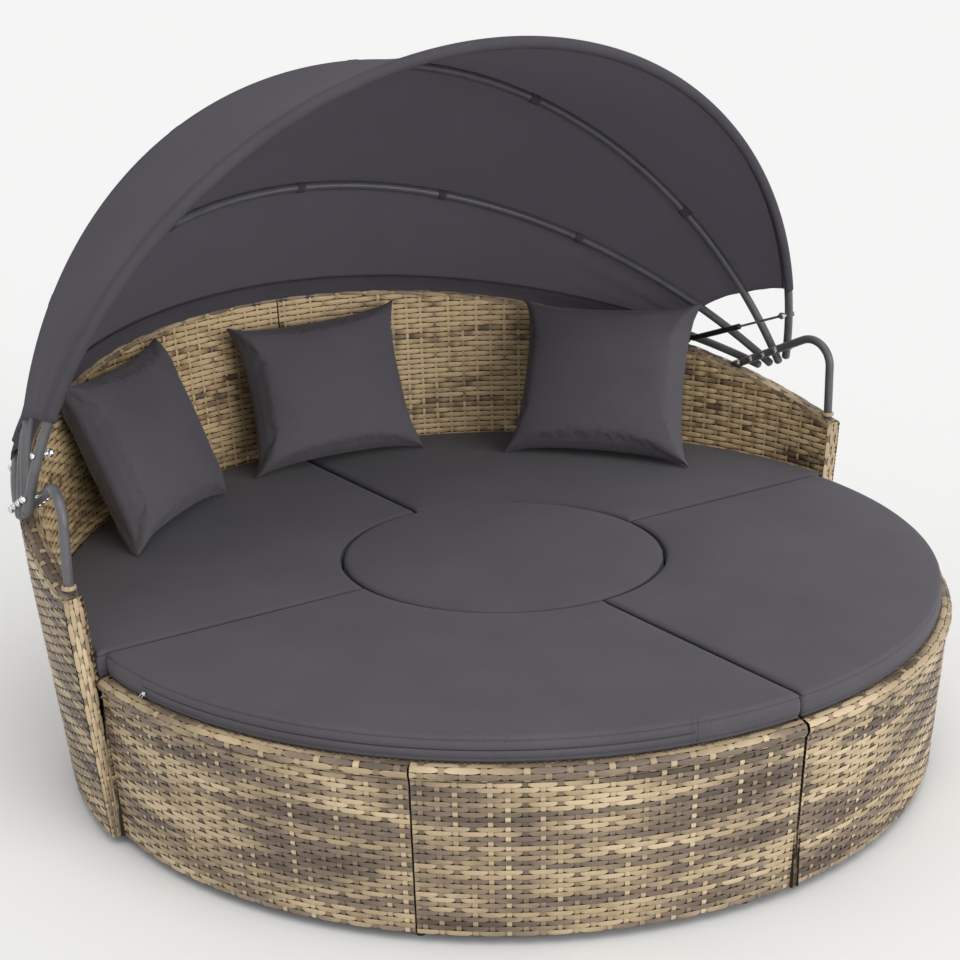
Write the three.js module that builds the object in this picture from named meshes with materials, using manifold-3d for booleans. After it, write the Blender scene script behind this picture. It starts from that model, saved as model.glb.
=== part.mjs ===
// Round outdoor daybed: a two-piece sofa, two ottomans and a round table that close to one circle,
// with a canopy of three tube hoops that swing on a bent rail on each arm.
// Millimetres, X to the right, Y to the back, Z up.
import * as THREE from 'three';
import { mergeVertices } from 'three/addons/utils/BufferGeometryUtils.js';
import Module from 'manifold-3d';

const wasm = await Module();
wasm.setup();

// Fits
const fit = 0.3; // gap between pieces that touch
const overrun = 5; // how far a cut runs past the surface it opens

// Seat ring: four woven quadrant boxes round the table
const seatHeight = 340.7;
const floorGap = 20;
const ringRadius = 871.7; // outside of the ottomans at their bottom edge
const ringLeanShare = 0.072;
const coreRadius = 337; // inner curved wall of the boxes
const segmentGap = 6;
const skirtThickness = 8;
const rollHeight = 26; // padded roll along the top edge
const rollBulge = 5.5;
const rollShoulderShares = [0.3, 0.7];
const deckThickness = 8;
const quarterSteps = 10; // facets of a woven quarter
const frameSteps = 5; // and of the frame inside it
const sweepMargin = THREE.MathUtils.degToRad(2);

// Steel frames inside the boxes
const frameTube = 18;
const lowerRingHeight = 30;
const postDiameter = 15;
const postSides = 6;
const footDiameter = 20;
const footHeight = 14;
const footFaceShare = 0.85;
const endPostAngle = THREE.MathUtils.degToRad(5.5);
const innerPostAngle = THREE.MathUtils.degToRad(15);
const linkBoltDiameter = 8;
const linkBoltHead = 14;
const linkBoltRadiusShares = [0.55, 0.88];

// Sofa wall: arms and backrest in one flared shell with a sloping rim
const wallStandOut = 4.3; // wall's inner face outside the ring of the skirts, both at the bottom
const wallLeanShare = 0.083;
const wallBaseThickness = 20;
const wallThickness = 34;
const wallSkin = 6;
const armRise = 164.3; // front of the arm above the seat boxes
const rimSlopeShare = 0.276;
const rimEdge = 9;
const fullThicknessShare = 0.9;

// Rail on each arm
const tubeDiameter = 19;
const tubeWall = 1.5;
const railFootSetback = 20;
const railEndSetback = 300;
const railPlug = 30; // length of rail inside the wall
const railBend = 55;
const railFall = THREE.MathUtils.degToRad(24.8);
const pivotSetback = 166.6; // front pivot, from the front face of the arm
const pivotRise = 145; // front pivot above the front of the arm
const pivotSpacing = 40;

// Canopy hoops, rear to front
const hoopStandOff = 26; // rail axis to hoop axis, sideways
const hoopOverhang = 24; // hoop below its pivot
const hoop1Inset = 6.3; // top of hoop 1, inward of the middle of the wall at the back
const hoop2Reach = 720;
const hoop3Reach = 779;
const hoop4Reach = 789;
const hoop1Tilt = THREE.MathUtils.degToRad(-74.5);
const hoop2Tilt = THREE.MathUtils.degToRad(-53.8);
const hoop3Tilt = THREE.MathUtils.degToRad(-25.2);
const hoop4Tilt = THREE.MathUtils.degToRad(13.9);
const hoopWidthShares = [1, 0.903, 0.972, 1.03];
const hoopSteps = 24;
const railSteps = 16;
const tubeSides = 8;
const boreSides = 4;

// Pivot bolts
const boltDiameter = 6;
const nutWidth = 12;
const nutHeight = 5;
const capNutDiameter = 13;
const capNutHeight = 8;
const capShoulderShare = 0.9;
const capTipShare = 0.6;
const washerDiameter = 14;
const washerThickness = 1.2;
const spacerDiameter = 10;
const boltSides = 6;

// Gas struts
const strutRearReach = 141; // rear ball, along hoop 1 from its pivot
const strutFrontReach = 87; // front pin, along hoop 4 from its pivot
const strutGap = 12.79; // cylinder to hoop 2, where it passes inside
const socketGap = 6; // least gap from hoop 1 to the socket
const frontPinStandOff = 22;
const ballDiameter = 10;
const studDiameter = 6;
const studHeadDiameter = 11;
const studHeadHeight = 3;
const studHeadSetShare = 1.2; // of the tube's radius, from its middle to the head
const socketWall = 3.4;
const socketNeckShare = 0.7;
const socketMouthShare = 0.9;
const cylinderDiameter = 14;
const cylinderBore = 10.6;
const cylinderLength = 165;
const cylinderFloor = 14;
const guideLength = 8;
const rodDiameter = 6;
const rodLength = 154;
const pistonLength = 10;
const pinGap = 2;
const eyeDiameter = 16;
const eyeThickness = 8;
const eyeSides = 10;

// Canopy cloth
const clothThickness = 3;
const clothLift = 2.5; // cloth above the tube it passes over
const clothSeam = 1;
const clothSag = 14;
const cloth4Start = 130; // lower edge of the cloth, along each hoop from its pivot
const cloth3Start = 166;
const cloth2Start = 174;
const cloth1Start = 167;
const clothSteps = 24;
const clothRows = 4;

// Cushions
const cushionThickness = 50;
const cushionCrown = 8;
const cushionEdge = 13;
const cushionDraw = 6;
const cushionGap = 6;
const cushionOverhang = 1; // past the inner curved wall of the boxes
const cushionSetback = 14.8; // from the ottoman's upper edge
const cushionWallGap = 6.6;
const roundCushionGap = 10;
const cushionColumns = 6;
const cushionRows = 10;
const cushionLayers = 3;
const roundSteps = 24;
const tableRingSteps = 12;
const tableLegs = 4;
const roundSideShares = [-0.5, -0.17, 0.17, 0.5];
const roundCrownShares = [0.75, 0.5];

// Table
const tableGap = 17; // between the drum and the boxes round it
const tableTopThickness = 10;

// Throw pillows
const pillowWidth = 430;
const pillowHeight = 385;
const pillowThickness = 135;
const pillowEdge = 6;
const pillowDrawShare = 0.07;
const pillowBodyShare = 0.45;
const pillowGrid = 10;

// Zip on the outer face of the front left cushion
const zipStartShare = 0.1; // place of the slider along the cushion's outer face
const zipRise = 21; // middle of the slider above the cushion's underside
const zipBodyWidth = 9;
const zipBodyLength = 12;
const zipBodyDepth = 4;
const zipPullWidth = 7;
const zipPullLength = 17;
const zipPullThickness = 1.5;
const zipTipShare = 0.4;
const zipSegments = 6;

const tubeRadius = tubeDiameter / 2;
const wallRadius = ringRadius + wallStandOut;
const armHeight = seatHeight + armRise;
const pivotHeight = armHeight + pivotRise;
const rightAngle = Math.PI / 2;
const wholeReach = 2 * (wallRadius + wallThickness);

// Solids: closed meshes that can be joined and cut
function solid(geometry) {
  const bare = geometry.clone();
  bare.deleteAttribute('normal');
  bare.deleteAttribute('uv');
  const merged = mergeVertices(bare);
  const places = merged.attributes.position.array;
  const corners = merged.index.array;
  const faces = [];
  let volume = 0;
  const at = (index) => new THREE.Vector3().fromArray(places, 3 * index);
  for (let i = 0; i < corners.length; i += 3) {
    const [a, b, c] = [corners[i], corners[i + 1], corners[i + 2]];
    if (a !== b && b !== c && c !== a) {
      faces.push(a, b, c);
      volume += at(a).dot(at(b).cross(at(c)));
    }
  }
  if (volume < 0) {
    faces.reverse();
  }
  return new wasm.Manifold(new wasm.Mesh({
    numProp: 3,
    vertProperties: new Float32Array(places),
    triVerts: new Uint32Array(faces),
  }));
}

function geometryOf(body) {
  const mesh = body.getMesh();
  const geometry = new THREE.BufferGeometry();
  geometry.setAttribute('position', new THREE.BufferAttribute(mesh.vertProperties, 3));
  geometry.setIndex(new THREE.BufferAttribute(mesh.triVerts, 1));
  geometry.computeVertexNormals();
  return geometry;
}

// The same piece for the other side of the daybed
function mirrored(geometry) {
  const copy = geometry.clone();
  copy.scale(-1, 1, 1);
  copy.index.array.reverse();
  copy.computeVertexNormals();
  return copy;
}

// A closed section of [radius, height] points carried round the vertical axis
function sweep(sectionAt, from, to, steps) {
  const places = [];
  const faces = [];
  const count = sectionAt(from).length;
  for (let i = 0; i <= steps; i += 1) {
    const angle = THREE.MathUtils.lerp(from, to, i / steps);
    sectionAt(angle).forEach(([radius, height]) => {
      places.push(radius * Math.cos(angle), radius * Math.sin(angle), height);
    });
  }
  for (let i = 0; i < steps; i += 1) {
    for (let j = 0; j < count; j += 1) {
      const a = i * count + j;
      const b = i * count + ((j + 1) % count);
      faces.push(a, a + count, b + count, a, b + count, b);
    }
  }
  const outline = (angle) => sectionAt(angle).map(([radius, height]) => new THREE.Vector2(radius, height));
  const last = steps * count;
  THREE.ShapeUtils.triangulateShape(outline(from), []).forEach(([a, b, c]) => faces.push(a, b, c));
  THREE.ShapeUtils.triangulateShape(outline(to), []).forEach(([a, b, c]) => {
    faces.push(last + c, last + b, last + a);
  });
  const geometry = new THREE.BufferGeometry();
  geometry.setAttribute('position', new THREE.Float32BufferAttribute(places, 3));
  geometry.setIndex(faces);
  return solid(geometry);
}

// A profile of [radius, height] points turned a whole turn about the vertical axis
function revolve(profile, segments) {
  const points = profile.map(([radius, height]) => new THREE.Vector2(radius, height));
  return new THREE.LatheGeometry(points, segments).rotateX(rightAngle);
}

// A turned profile laid along the line from one point towards another
function turnedAlong(profile, from, to, segments) {
  const direction = to.clone().sub(from).normalize();
  const turn = new THREE.Quaternion().setFromUnitVectors(new THREE.Vector3(0, 0, 1), direction);
  const matrix = new THREE.Matrix4().compose(from, turn, new THREE.Vector3(1, 1, 1));
  return solid(revolve(profile, segments).applyMatrix4(matrix));
}

function bar(from, to, radius, sides = tubeSides) {
  const length = from.distanceTo(to);
  return turnedAlong([[0, 0], [radius, 0], [radius, length], [0, length]], from, to, sides);
}

function ball(centre, radius) {
  const sphere = new THREE.SphereGeometry(radius, tubeSides, tubeSides - 2);
  return solid(sphere.translate(centre.x, centre.y, centre.z));
}

function roundPoints(radius, sides) {
  return Array.from({ length: sides }, (_, i) => {
    const angle = (i + 0.5) * 2 * Math.PI / sides;
    return new THREE.Vector2(radius * Math.cos(angle), radius * Math.sin(angle));
  });
}

// A bar of round section along a curve, or a tube where it has a bore
function along(curve, radius, steps, bore = 0) {
  const shape = new THREE.Shape(roundPoints(radius, tubeSides));
  if (bore > 0) {
    shape.holes.push(new THREE.Path(roundPoints(bore, boreSides)));
  }
  return solid(new THREE.ExtrudeGeometry(shape, { steps, extrudePath: curve }));
}

// A block whose faces are bent to a form; place() takes shares from -0.5 to 0.5 along its three sides
function formed(columns, rows, layers, place) {
  const geometry = new THREE.BoxGeometry(1, 1, 1, columns, rows, layers);
  geometry.deleteAttribute('normal');
  geometry.deleteAttribute('uv');
  const block = mergeVertices(geometry);
  const spots = block.attributes.position;
  for (let i = 0; i < spots.count; i += 1) {
    const spot = place(spots.getX(i), spots.getY(i), spots.getZ(i));
    spots.setXYZ(i, spot.x, spot.y, spot.z);
  }
  return geometryOf(solid(block));
}

// Quadrant shapes: all of them lie between +X and +Y and are turned or mirrored into place
const sweepStep = (steps) => (rightAngle + 2 * sweepMargin) / steps;
const flatShare = (steps) => Math.cos(sweepStep(steps) / 2);

// Radius of a faceted circle at one angle
function facetRadius(radius, angle, steps) {
  const step = sweepStep(steps);
  const facet = Math.floor((angle + sweepMargin) / step);
  const middle = (facet + 0.5) * step - sweepMargin;
  return radius * flatShare(steps) / Math.cos(angle - middle);
}

function quadrantBlock(margin) {
  const block = new THREE.BoxGeometry(wholeReach, wholeReach, 2 * wholeReach);
  return solid(block.translate(margin + wholeReach / 2, margin + wholeReach / 2, 0));
}

function quadrant(sectionAt, margin, steps = quarterSteps) {
  const round = sweep(sectionAt, -sweepMargin, rightAngle + sweepMargin, steps);
  return round.intersect(quadrantBlock(margin));
}

function sector(inner, outerAt, margin, bottom, top, steps = quarterSteps) {
  const section = () => [[inner, bottom], [outerAt(bottom), bottom], [outerAt(top), top], [inner, top]];
  return quadrant(section, margin, steps);
}

const skirtRadius = (height) => ringRadius + (height - floorGap) * ringLeanShare;
const wallInner = (height) => wallRadius + (height - floorGap) * wallLeanShare;
const rollBottom = seatHeight - rollHeight;
const cushionBottom = seatHeight + fit;
const cushionInnerRadius = coreRadius - cushionOverhang;
const roundCushionRadius = cushionInnerRadius - roundCushionGap;
const frontCushionRadius = skirtRadius(seatHeight) - cushionSetback;
const rearCushionRadius = wallInner(cushionBottom) - cushionWallGap;
const tableRadius = coreRadius - tableGap;

function rollProfile(radiusAt) {
  return [
    [radiusAt(rollBottom), rollBottom],
    [radiusAt(seatHeight) + rollBulge, rollBottom + rollShoulderShares[0] * rollHeight],
    [radiusAt(seatHeight) + rollBulge, rollBottom + rollShoulderShares[1] * rollHeight],
    [radiusAt(seatHeight) - rollBulge / 2, seatHeight],
  ];
}

// Two kinds of box: an ottoman has its own outer skirt, a sofa half is closed by the wall
const ottoman = { insideAt: (height) => skirtRadius(height) - skirtThickness - fit };
const sofaHalf = { insideAt: (height) => wallInner(height) - fit };

function makeOttomanSkirt() {
  const section = () => [
    [coreRadius, floorGap],
    [skirtRadius(floorGap), floorGap],
    ...rollProfile(skirtRadius),
    [coreRadius, seatHeight],
  ];
  const inside = sector(
    coreRadius + skirtThickness,
    (height) => skirtRadius(height) - skirtThickness,
    segmentGap / 2 + skirtThickness,
    floorGap - overrun,
    seatHeight + overrun,
  );
  return geometryOf(quadrant(section, segmentGap / 2).subtract(inside));
}

function makeSofaSkirt() {
  const box = sector(coreRadius, sofaHalf.insideAt, segmentGap / 2, floorGap, seatHeight);
  const inside = sector(
    coreRadius + skirtThickness,
    (height) => wallInner(height) + overrun,
    segmentGap / 2 + skirtThickness,
    floorGap - overrun,
    seatHeight + overrun,
  );
  return geometryOf(linkHoles().reduce((body, hole) => body.subtract(hole), box.subtract(inside)));
}

const insideMargin = segmentGap / 2 + skirtThickness + fit;
const insideRadius = coreRadius + skirtThickness + fit;
const frameCoreRadius = insideRadius / flatShare(frameSteps);

function makeDeck(seat) {
  return geometryOf(sector(
    insideRadius,
    seat.insideAt,
    insideMargin,
    seatHeight - deckThickness,
    seatHeight,
  ));
}

function frameRing(seat, bottom) {
  const top = bottom + frameTube;
  const whole = sector(frameCoreRadius, seat.insideAt, insideMargin, bottom, top, frameSteps);
  const hollow = sector(
    frameCoreRadius + frameTube,
    (height) => seat.insideAt(height) - frameTube,
    insideMargin + frameTube,
    bottom - overrun,
    top + overrun,
    frameSteps,
  );
  return whole.subtract(hollow);
}

const upperRingHeight = seatHeight - deckThickness - fit - frameTube;

// A post from its foot glide on the floor up into the upper ring
function post(radiusAt, angle) {
  const point = (height) => {
    const radius = radiusAt(height);
    return new THREE.Vector3(radius * Math.cos(angle), radius * Math.sin(angle), height);
  };
  const foot = point(0);
  const neck = foot.clone().setZ(footHeight);
  const top = point(upperRingHeight + frameTube / 2);
  const leg = bar(point(footHeight - fit), top, postDiameter / 2, postSides);
  const glide = turnedAlong(
    [
      [0, 0],
      [footFaceShare * footDiameter / 2, 0],
      [footDiameter / 2, footHeight / 4],
      [footDiameter / 2, footHeight],
      [0, footHeight],
    ],
    foot,
    neck,
    tubeSides,
  );
  return leg.add(glide);
}

function makeFrame(seat, holes) {
  const outerAt = (angle) => (height) => facetRadius(seat.insideAt(height), angle, frameSteps) - frameTube / 2;
  const innerAt = (angle) => () => facetRadius(frameCoreRadius, angle, frameSteps) + frameTube / 2;
  const posts = [
    ...[endPostAngle, rightAngle / 2, rightAngle - endPostAngle].map((angle) => post(outerAt(angle), angle)),
    ...[innerPostAngle, rightAngle - innerPostAngle].map((angle) => post(innerAt(angle), angle)),
  ];
  const rings = frameRing(seat, lowerRingHeight).add(frameRing(seat, upperRingHeight));
  const welded = posts.reduce((body, leg) => body.add(leg), rings);
  return geometryOf(holes.reduce((body, hole) => body.subtract(hole), welded));
}

// Two bolts through the skirts and upper frame tubes hold the sofa halves together
const linkPlaces = linkBoltRadiusShares.map((share) => new THREE.Vector3(
  0,
  share * wallRadius,
  upperRingHeight + frameTube / 2,
));
const linkGrip = insideMargin + frameTube + fit;

function linkHoles() {
  return linkPlaces.map((place) => {
    const start = place.clone().setX(-overrun);
    const end = place.clone().setX(linkGrip + overrun);
    return bar(start, end, linkBoltDiameter / 2 + fit);
  });
}

function makeLinkBolt(place) {
  const start = place.clone().setX(-linkGrip - nutHeight);
  const end = place.clone().setX(linkGrip + nutHeight);
  const shank = linkBoltDiameter / 2;
  const head = linkBoltHead / 2;
  const length = 2 * (linkGrip + nutHeight);
  const profile = [
    [0, 0],
    [head, 0],
    [head, nutHeight],
    [shank, nutHeight],
    [shank, length - nutHeight],
    [head, length - nutHeight],
    [head, length],
    [0, length],
  ];
  return geometryOf(turnedAlong(profile, start, end, tubeSides));
}

// Sofa wall: the rim lies in one sloping plane, higher at the back
const fullThicknessHeight = fullThicknessShare * armHeight;
const wallDepth = (height) => THREE.MathUtils.mapLinear(
  Math.min(height, fullThicknessHeight),
  floorGap,
  fullThicknessHeight,
  wallBaseThickness,
  wallThickness,
);
const wallOuter = (height) => wallInner(height) + wallDepth(height);

function rimHeightAt(angle) {
  const slope = rimSlopeShare * Math.sin(angle);
  const middle = wallRadius - floorGap * wallLeanShare + wallThickness / 2;
  return (armHeight + slope * middle) / (1 - slope * wallLeanShare);
}

function wallSection(angle, inset, bottom) {
  const top = rimHeightAt(angle) - inset;
  const shoulder = top - rimEdge;
  return [
    [wallOuter(bottom) - inset, bottom],
    [wallOuter(fullThicknessHeight) - inset, fullThicknessHeight],
    [wallOuter(shoulder) - inset, shoulder],
    [wallOuter(shoulder) - inset - rimEdge, top],
    [wallInner(shoulder) + inset + rimEdge, top],
    [wallInner(shoulder) + inset, shoulder],
    [wallInner(bottom) + inset, bottom],
  ];
}

function makeWall(rail) {
  const whole = quadrant((angle) => wallSection(angle, 0, floorGap), segmentGap / 2);
  const hollow = quadrant(
    (angle) => wallSection(angle, wallSkin, floorGap - overrun),
    segmentGap / 2 + wallSkin,
  );
  return geometryOf(whole.subtract(hollow).subtract(rail));
}

// Rail: up from the arm, round a bend and down the slope to the rim
function wallMiddleAt(setback) {
  const height = armHeight + rimSlopeShare * setback;
  const radius = (wallInner(height) + wallOuter(height)) / 2 * flatShare(quarterSteps);
  return new THREE.Vector3(Math.sqrt(radius ** 2 - setback ** 2), setback, height);
}

const railFront = wallMiddleAt(railFootSetback);
const railBack = wallMiddleAt(railEndSetback);
const railPlan = railBack.clone().sub(railFront).setZ(0).normalize();
const railSlope = railPlan.clone().multiplyScalar(Math.cos(railFall)).setZ(-Math.sin(railFall));

function railAt(setback) {
  const level = (setback - pivotSetback) / railPlan.y;
  return new THREE.Vector3(
    railFront.x + (setback - railFootSetback) / railPlan.y * railPlan.x,
    setback,
    pivotHeight - level * Math.tan(railFall),
  );
}

const railCorner = railAt(railFootSetback);
const bendLength = railBend * Math.tan((rightAngle + railFall) / 2);
const railLanding = railAt(railEndSetback);

class RailBend extends THREE.Curve {
  getPoint(share, target = new THREE.Vector3()) {
    const turn = share * (rightAngle + railFall);
    return target
      .copy(railCorner)
      .addScaledVector(railPlan, railBend * (1 - Math.cos(turn)))
      .setZ(railCorner.z - bendLength + railBend * Math.sin(turn));
  }
}

function makeRailPath(plug) {
  const path = new THREE.CurvePath();
  const foot = railCorner.clone().setZ(railFront.z - plug);
  const bendStart = railCorner.clone().setZ(railCorner.z - bendLength);
  const bendEnd = railCorner.clone().addScaledVector(railSlope, bendLength);
  path.add(new THREE.LineCurve3(foot, bendStart));
  path.add(new RailBend());
  path.add(new THREE.LineCurve3(bendEnd, railLanding.clone().addScaledVector(railSlope, plug)));
  return path;
}

const railPath = makeRailPath(railPlug);

// Pivots, rear to front, as the hoops are numbered
const slopeSetback = railSlope.y * pivotSpacing;
const pivots = [3, 2, 1, 0].map((count) => railAt(pivotSetback + count * slopeSetback));

// Hoops: flat arcs from pivot to pivot, each in its own tilted plane
class HoopCurve extends THREE.Curve {
  constructor(pivot, tilt, reach, widthShare) {
    super();
    this.pivot = pivot;
    this.tilt = tilt;
    this.halfWidth = pivot.x + hoopStandOff;
    this.height = ((this.halfWidth / widthShare) ** 2 + reach ** 2) / (2 * reach);
    this.width = widthShare * this.height;
    this.drop = this.height - reach;
    this.foot = this.angleAt(-hoopOverhang);
  }

  // Angle on the arc at a distance from the pivot line, measured in the hoop's plane
  angleAt(distance) {
    return Math.asin((distance + this.drop) / this.height);
  }

  // How far the tube leans in sideways for each unit that it rises
  leanAt(distance) {
    return this.width / this.height * Math.tan(this.angleAt(distance));
  }

  pointAt(angle, target = new THREE.Vector3()) {
    const distance = this.height * Math.sin(angle) - this.drop;
    return target.set(
      this.width * Math.cos(angle),
      this.pivot.y - distance * Math.sin(this.tilt),
      this.pivot.z + distance * Math.cos(this.tilt),
    );
  }

  getPoint(share, target) {
    return this.pointAt(THREE.MathUtils.lerp(this.foot, Math.PI - this.foot, share), target);
  }
}

const rimBack = rimHeightAt(rightAngle);
const backMiddle = (wallInner(rimBack) + wallOuter(rimBack)) / 2;
const hoop1Reach = (backMiddle - hoop1Inset - pivots[0].y) / Math.sin(-hoop1Tilt);
const hoopReaches = [hoop1Reach, hoop2Reach, hoop3Reach, hoop4Reach];
const hoopTilts = [hoop1Tilt, hoop2Tilt, hoop3Tilt, hoop4Tilt];
const clothStarts = [cloth1Start, cloth2Start, cloth3Start, cloth4Start];
const hoops = pivots.map((pivot, i) => new HoopCurve(pivot, hoopTilts[i], hoopReaches[i], hoopWidthShares[i]));

// A hole along X through one side of a hoop, or through a rail, wide enough for a faceted bolt to turn in
function crossHole(place, radius) {
  const start = place.clone().setX(place.x - tubeDiameter);
  const end = place.clone().setX(place.x + tubeDiameter);
  return bar(start, end, (radius + fit) / Math.cos(Math.PI / boltSides), boltSides);
}

function onOtherSide(point) {
  return point.clone().setX(-point.x);
}

function makeHoop(hoop, studPlaces) {
  const tube = along(hoop, tubeRadius, hoopSteps, tubeRadius - tubeWall);
  const seat = hoop.pointAt(hoop.angleAt(0));
  const holes = [
    ...[seat, onOtherSide(seat)].map((place) => crossHole(place, boltDiameter / 2)),
    ...studPlaces.map((place) => crossHole(place, studDiameter / 2)),
  ];
  return geometryOf(holes.reduce((body, hole) => body.subtract(hole), tube));
}

function makeRail() {
  const tube = along(railPath, tubeRadius, railSteps, tubeRadius - tubeWall);
  const holes = pivots.map((place) => crossHole(place, boltDiameter / 2));
  return geometryOf(holes.reduce((body, hole) => body.subtract(hole), tube));
}

// Pivot bolt: nut inside the rail, spacer between rail and hoop, washer and cap nut outside
function makePivotBolt(hoop) {
  const { pivot } = hoop;
  const lean = Math.abs(hoop.leanAt(0));
  const hoopSpan = tubeRadius * Math.hypot(1, lean);
  const hoopFacet = hoop.width * (1 - Math.cos(Math.PI / 2 / hoopSteps));
  const railSpan = tubeRadius / railPlan.y;
  const railLean = Math.abs(railPlan.x / railPlan.y);
  const nutEnd = pivot.x - railSpan - railLean * nutWidth / 2 - fit;
  const spacerStart = pivot.x + railSpan + railLean * spacerDiameter / 2 + fit;
  const spacerEnd = hoop.halfWidth - hoopFacet - hoopSpan - lean * spacerDiameter / 2 - fit;
  const washerStart = hoop.halfWidth + hoopSpan + lean * washerDiameter / 2 + fit;
  const washerEnd = washerStart + washerThickness;
  const origin = pivot.clone().setX(nutEnd - nutHeight);
  const from = (x) => x - origin.x;
  const shank = boltDiameter / 2;
  const spacer = spacerDiameter / 2;
  const washer = washerDiameter / 2;
  const cap = capNutDiameter / 2;
  const profile = [
    [0, 0],
    [shank, 0],
    [shank, from(spacerStart)],
    [spacer, from(spacerStart)],
    [spacer, from(spacerEnd)],
    [shank, from(spacerEnd)],
    [shank, from(washerStart)],
    [washer, from(washerStart)],
    [washer, from(washerEnd)],
    [cap, from(washerEnd)],
    [cap, from(washerEnd + capNutHeight / 2)],
    [capTipShare * cap, from(washerEnd + capShoulderShare * capNutHeight)],
    [0, from(washerEnd + capNutHeight)],
  ];
  const bolt = turnedAlong(profile, origin, pivot, boltSides);
  const nut = bar(origin, pivot.clone().setX(nutEnd), nutWidth / 2, boltSides);
  return geometryOf(bolt.add(nut));
}

// Gas strut: a cylinder on a ball on hoop 1, and a rod whose eye lies beside a pin on hoop 4
const studSeat = (hoop, reach) => hoop.pointAt(hoop.angleAt(reach));
const rearSeat = studSeat(hoops[0], strutRearReach);
const frontSeat = studSeat(hoops[3], strutFrontReach);
const frontEye = frontSeat.clone().setX(frontSeat.x - frontPinStandOff);
const sideways = new THREE.Vector3(1, 0, 0);

// The rear ball stands in as far as lets the cylinder pass inside hoop 2 and its socket clear hoop 1
function makeRearBall() {
  const hoop = hoops[1];
  const normal = new THREE.Vector3(0, Math.cos(hoop.tilt), Math.sin(hoop.tilt));
  const behind = rearSeat.clone().sub(hoop.pivot).dot(normal);
  const ahead = frontEye.clone().sub(hoop.pivot).dot(normal);
  const share = behind / (behind - ahead);
  const crossing = rearSeat.clone().lerp(frontEye, share);
  const along = new THREE.Vector3(0, -Math.sin(hoop.tilt), Math.cos(hoop.tilt));
  const reach = crossing.sub(hoop.pivot).dot(along);
  const tube = tubeRadius * Math.hypot(1, hoop.leanAt(reach));
  const side = hoop.pointAt(hoop.angleAt(reach)).x - tube - strutGap - cylinderDiameter / 2;
  const passing = (side - share * frontEye.x) / (1 - share);
  const seatTube = tubeRadius * Math.hypot(1, hoops[0].leanAt(strutRearReach));
  const beside = rearSeat.x - seatTube - socketGap - ballDiameter / 2 - socketWall;
  return rearSeat.clone().setX(Math.min(passing, beside));
}

const rearBall = makeRearBall();

function studShank(seat, innerEnd) {
  const outside = seat.clone().setX(seat.x + studHeadSetShare * tubeRadius);
  const head = outside.clone().setX(outside.x + studHeadHeight);
  const shank = bar(seat.clone().setX(innerEnd), head, studDiameter / 2, boltSides);
  return shank.add(bar(outside, head, studHeadDiameter / 2));
}

function makeRearStud() {
  return geometryOf(studShank(rearSeat, rearBall.x).add(ball(rearBall, ballDiameter / 2)));
}

function makeFrontPin() {
  const face = frontEye.x + eyeThickness / 2 + pinGap;
  const flange = bar(
    frontSeat.clone().setX(face),
    frontSeat.clone().setX(face + studHeadHeight),
    studHeadDiameter / 2,
  );
  return geometryOf(studShank(frontSeat, face).add(flange));
}

function makeStrutCylinder() {
  const outer = cylinderDiameter / 2;
  const bore = cylinderBore / 2;
  const socket = ballDiameter / 2 + socketWall;
  const tube = turnedAlong(
    [
      [0, socketNeckShare * socket],
      [outer, cylinderFloor],
      [outer, cylinderLength],
      [rodDiameter / 2 + fit, cylinderLength],
      [rodDiameter / 2 + fit, cylinderLength - guideLength],
      [bore, cylinderLength - guideLength],
      [bore, cylinderFloor + socketWall],
      [0, cylinderFloor + socketWall],
    ],
    rearBall,
    frontEye,
    tubeSides,
  );
  const mouth = rearBall.clone().addScaledVector(sideways, 2 * socket);
  const body = tube.add(ball(rearBall, socket));
  const seat = ball(rearBall, ballDiameter / 2 + fit);
  return geometryOf(body.subtract(seat).subtract(bar(rearBall, mouth, socketMouthShare * ballDiameter / 2)));
}

function makeStrutRod() {
  const span = rearBall.distanceTo(frontEye);
  const start = span - rodLength;
  const rod = rodDiameter / 2;
  const piston = cylinderBore / 2 - fit;
  const body = turnedAlong(
    [
      [0, start],
      [piston, start],
      [piston, start + pistonLength],
      [rod, start + pistonLength],
      [rod, span],
      [0, span],
    ],
    rearBall,
    frontEye,
    tubeSides,
  );
  const eye = bar(
    frontEye.clone().addScaledVector(sideways, -eyeThickness / 2),
    frontEye.clone().addScaledVector(sideways, eyeThickness / 2),
    eyeDiameter / 2,
    eyeSides,
  );
  return geometryOf(body.add(eye));
}

// Canopy cloth: a thin sheet stretched over two hoops, sagging a little between them
function clothPoint(hoop, start, share) {
  const foot = hoop.angleAt(start);
  return hoop.pointAt(THREE.MathUtils.lerp(Math.PI - foot, foot, share));
}

// Direction out of the canopy where the cloth passes over one hoop
function clothNormal(index, share) {
  const rear = Math.max(index - 1, 0);
  const front = Math.min(index + 1, hoops.length - 1);
  const across = clothPoint(hoops[front], clothStarts[front], share)
    .sub(clothPoint(hoops[rear], clothStarts[rear], share));
  const step = 1 / clothSteps;
  const tangent = clothPoint(hoops[index], clothStarts[index], share + step)
    .sub(clothPoint(hoops[index], clothStarts[index], share - step));
  return across.cross(tangent).normalize();
}

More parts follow.
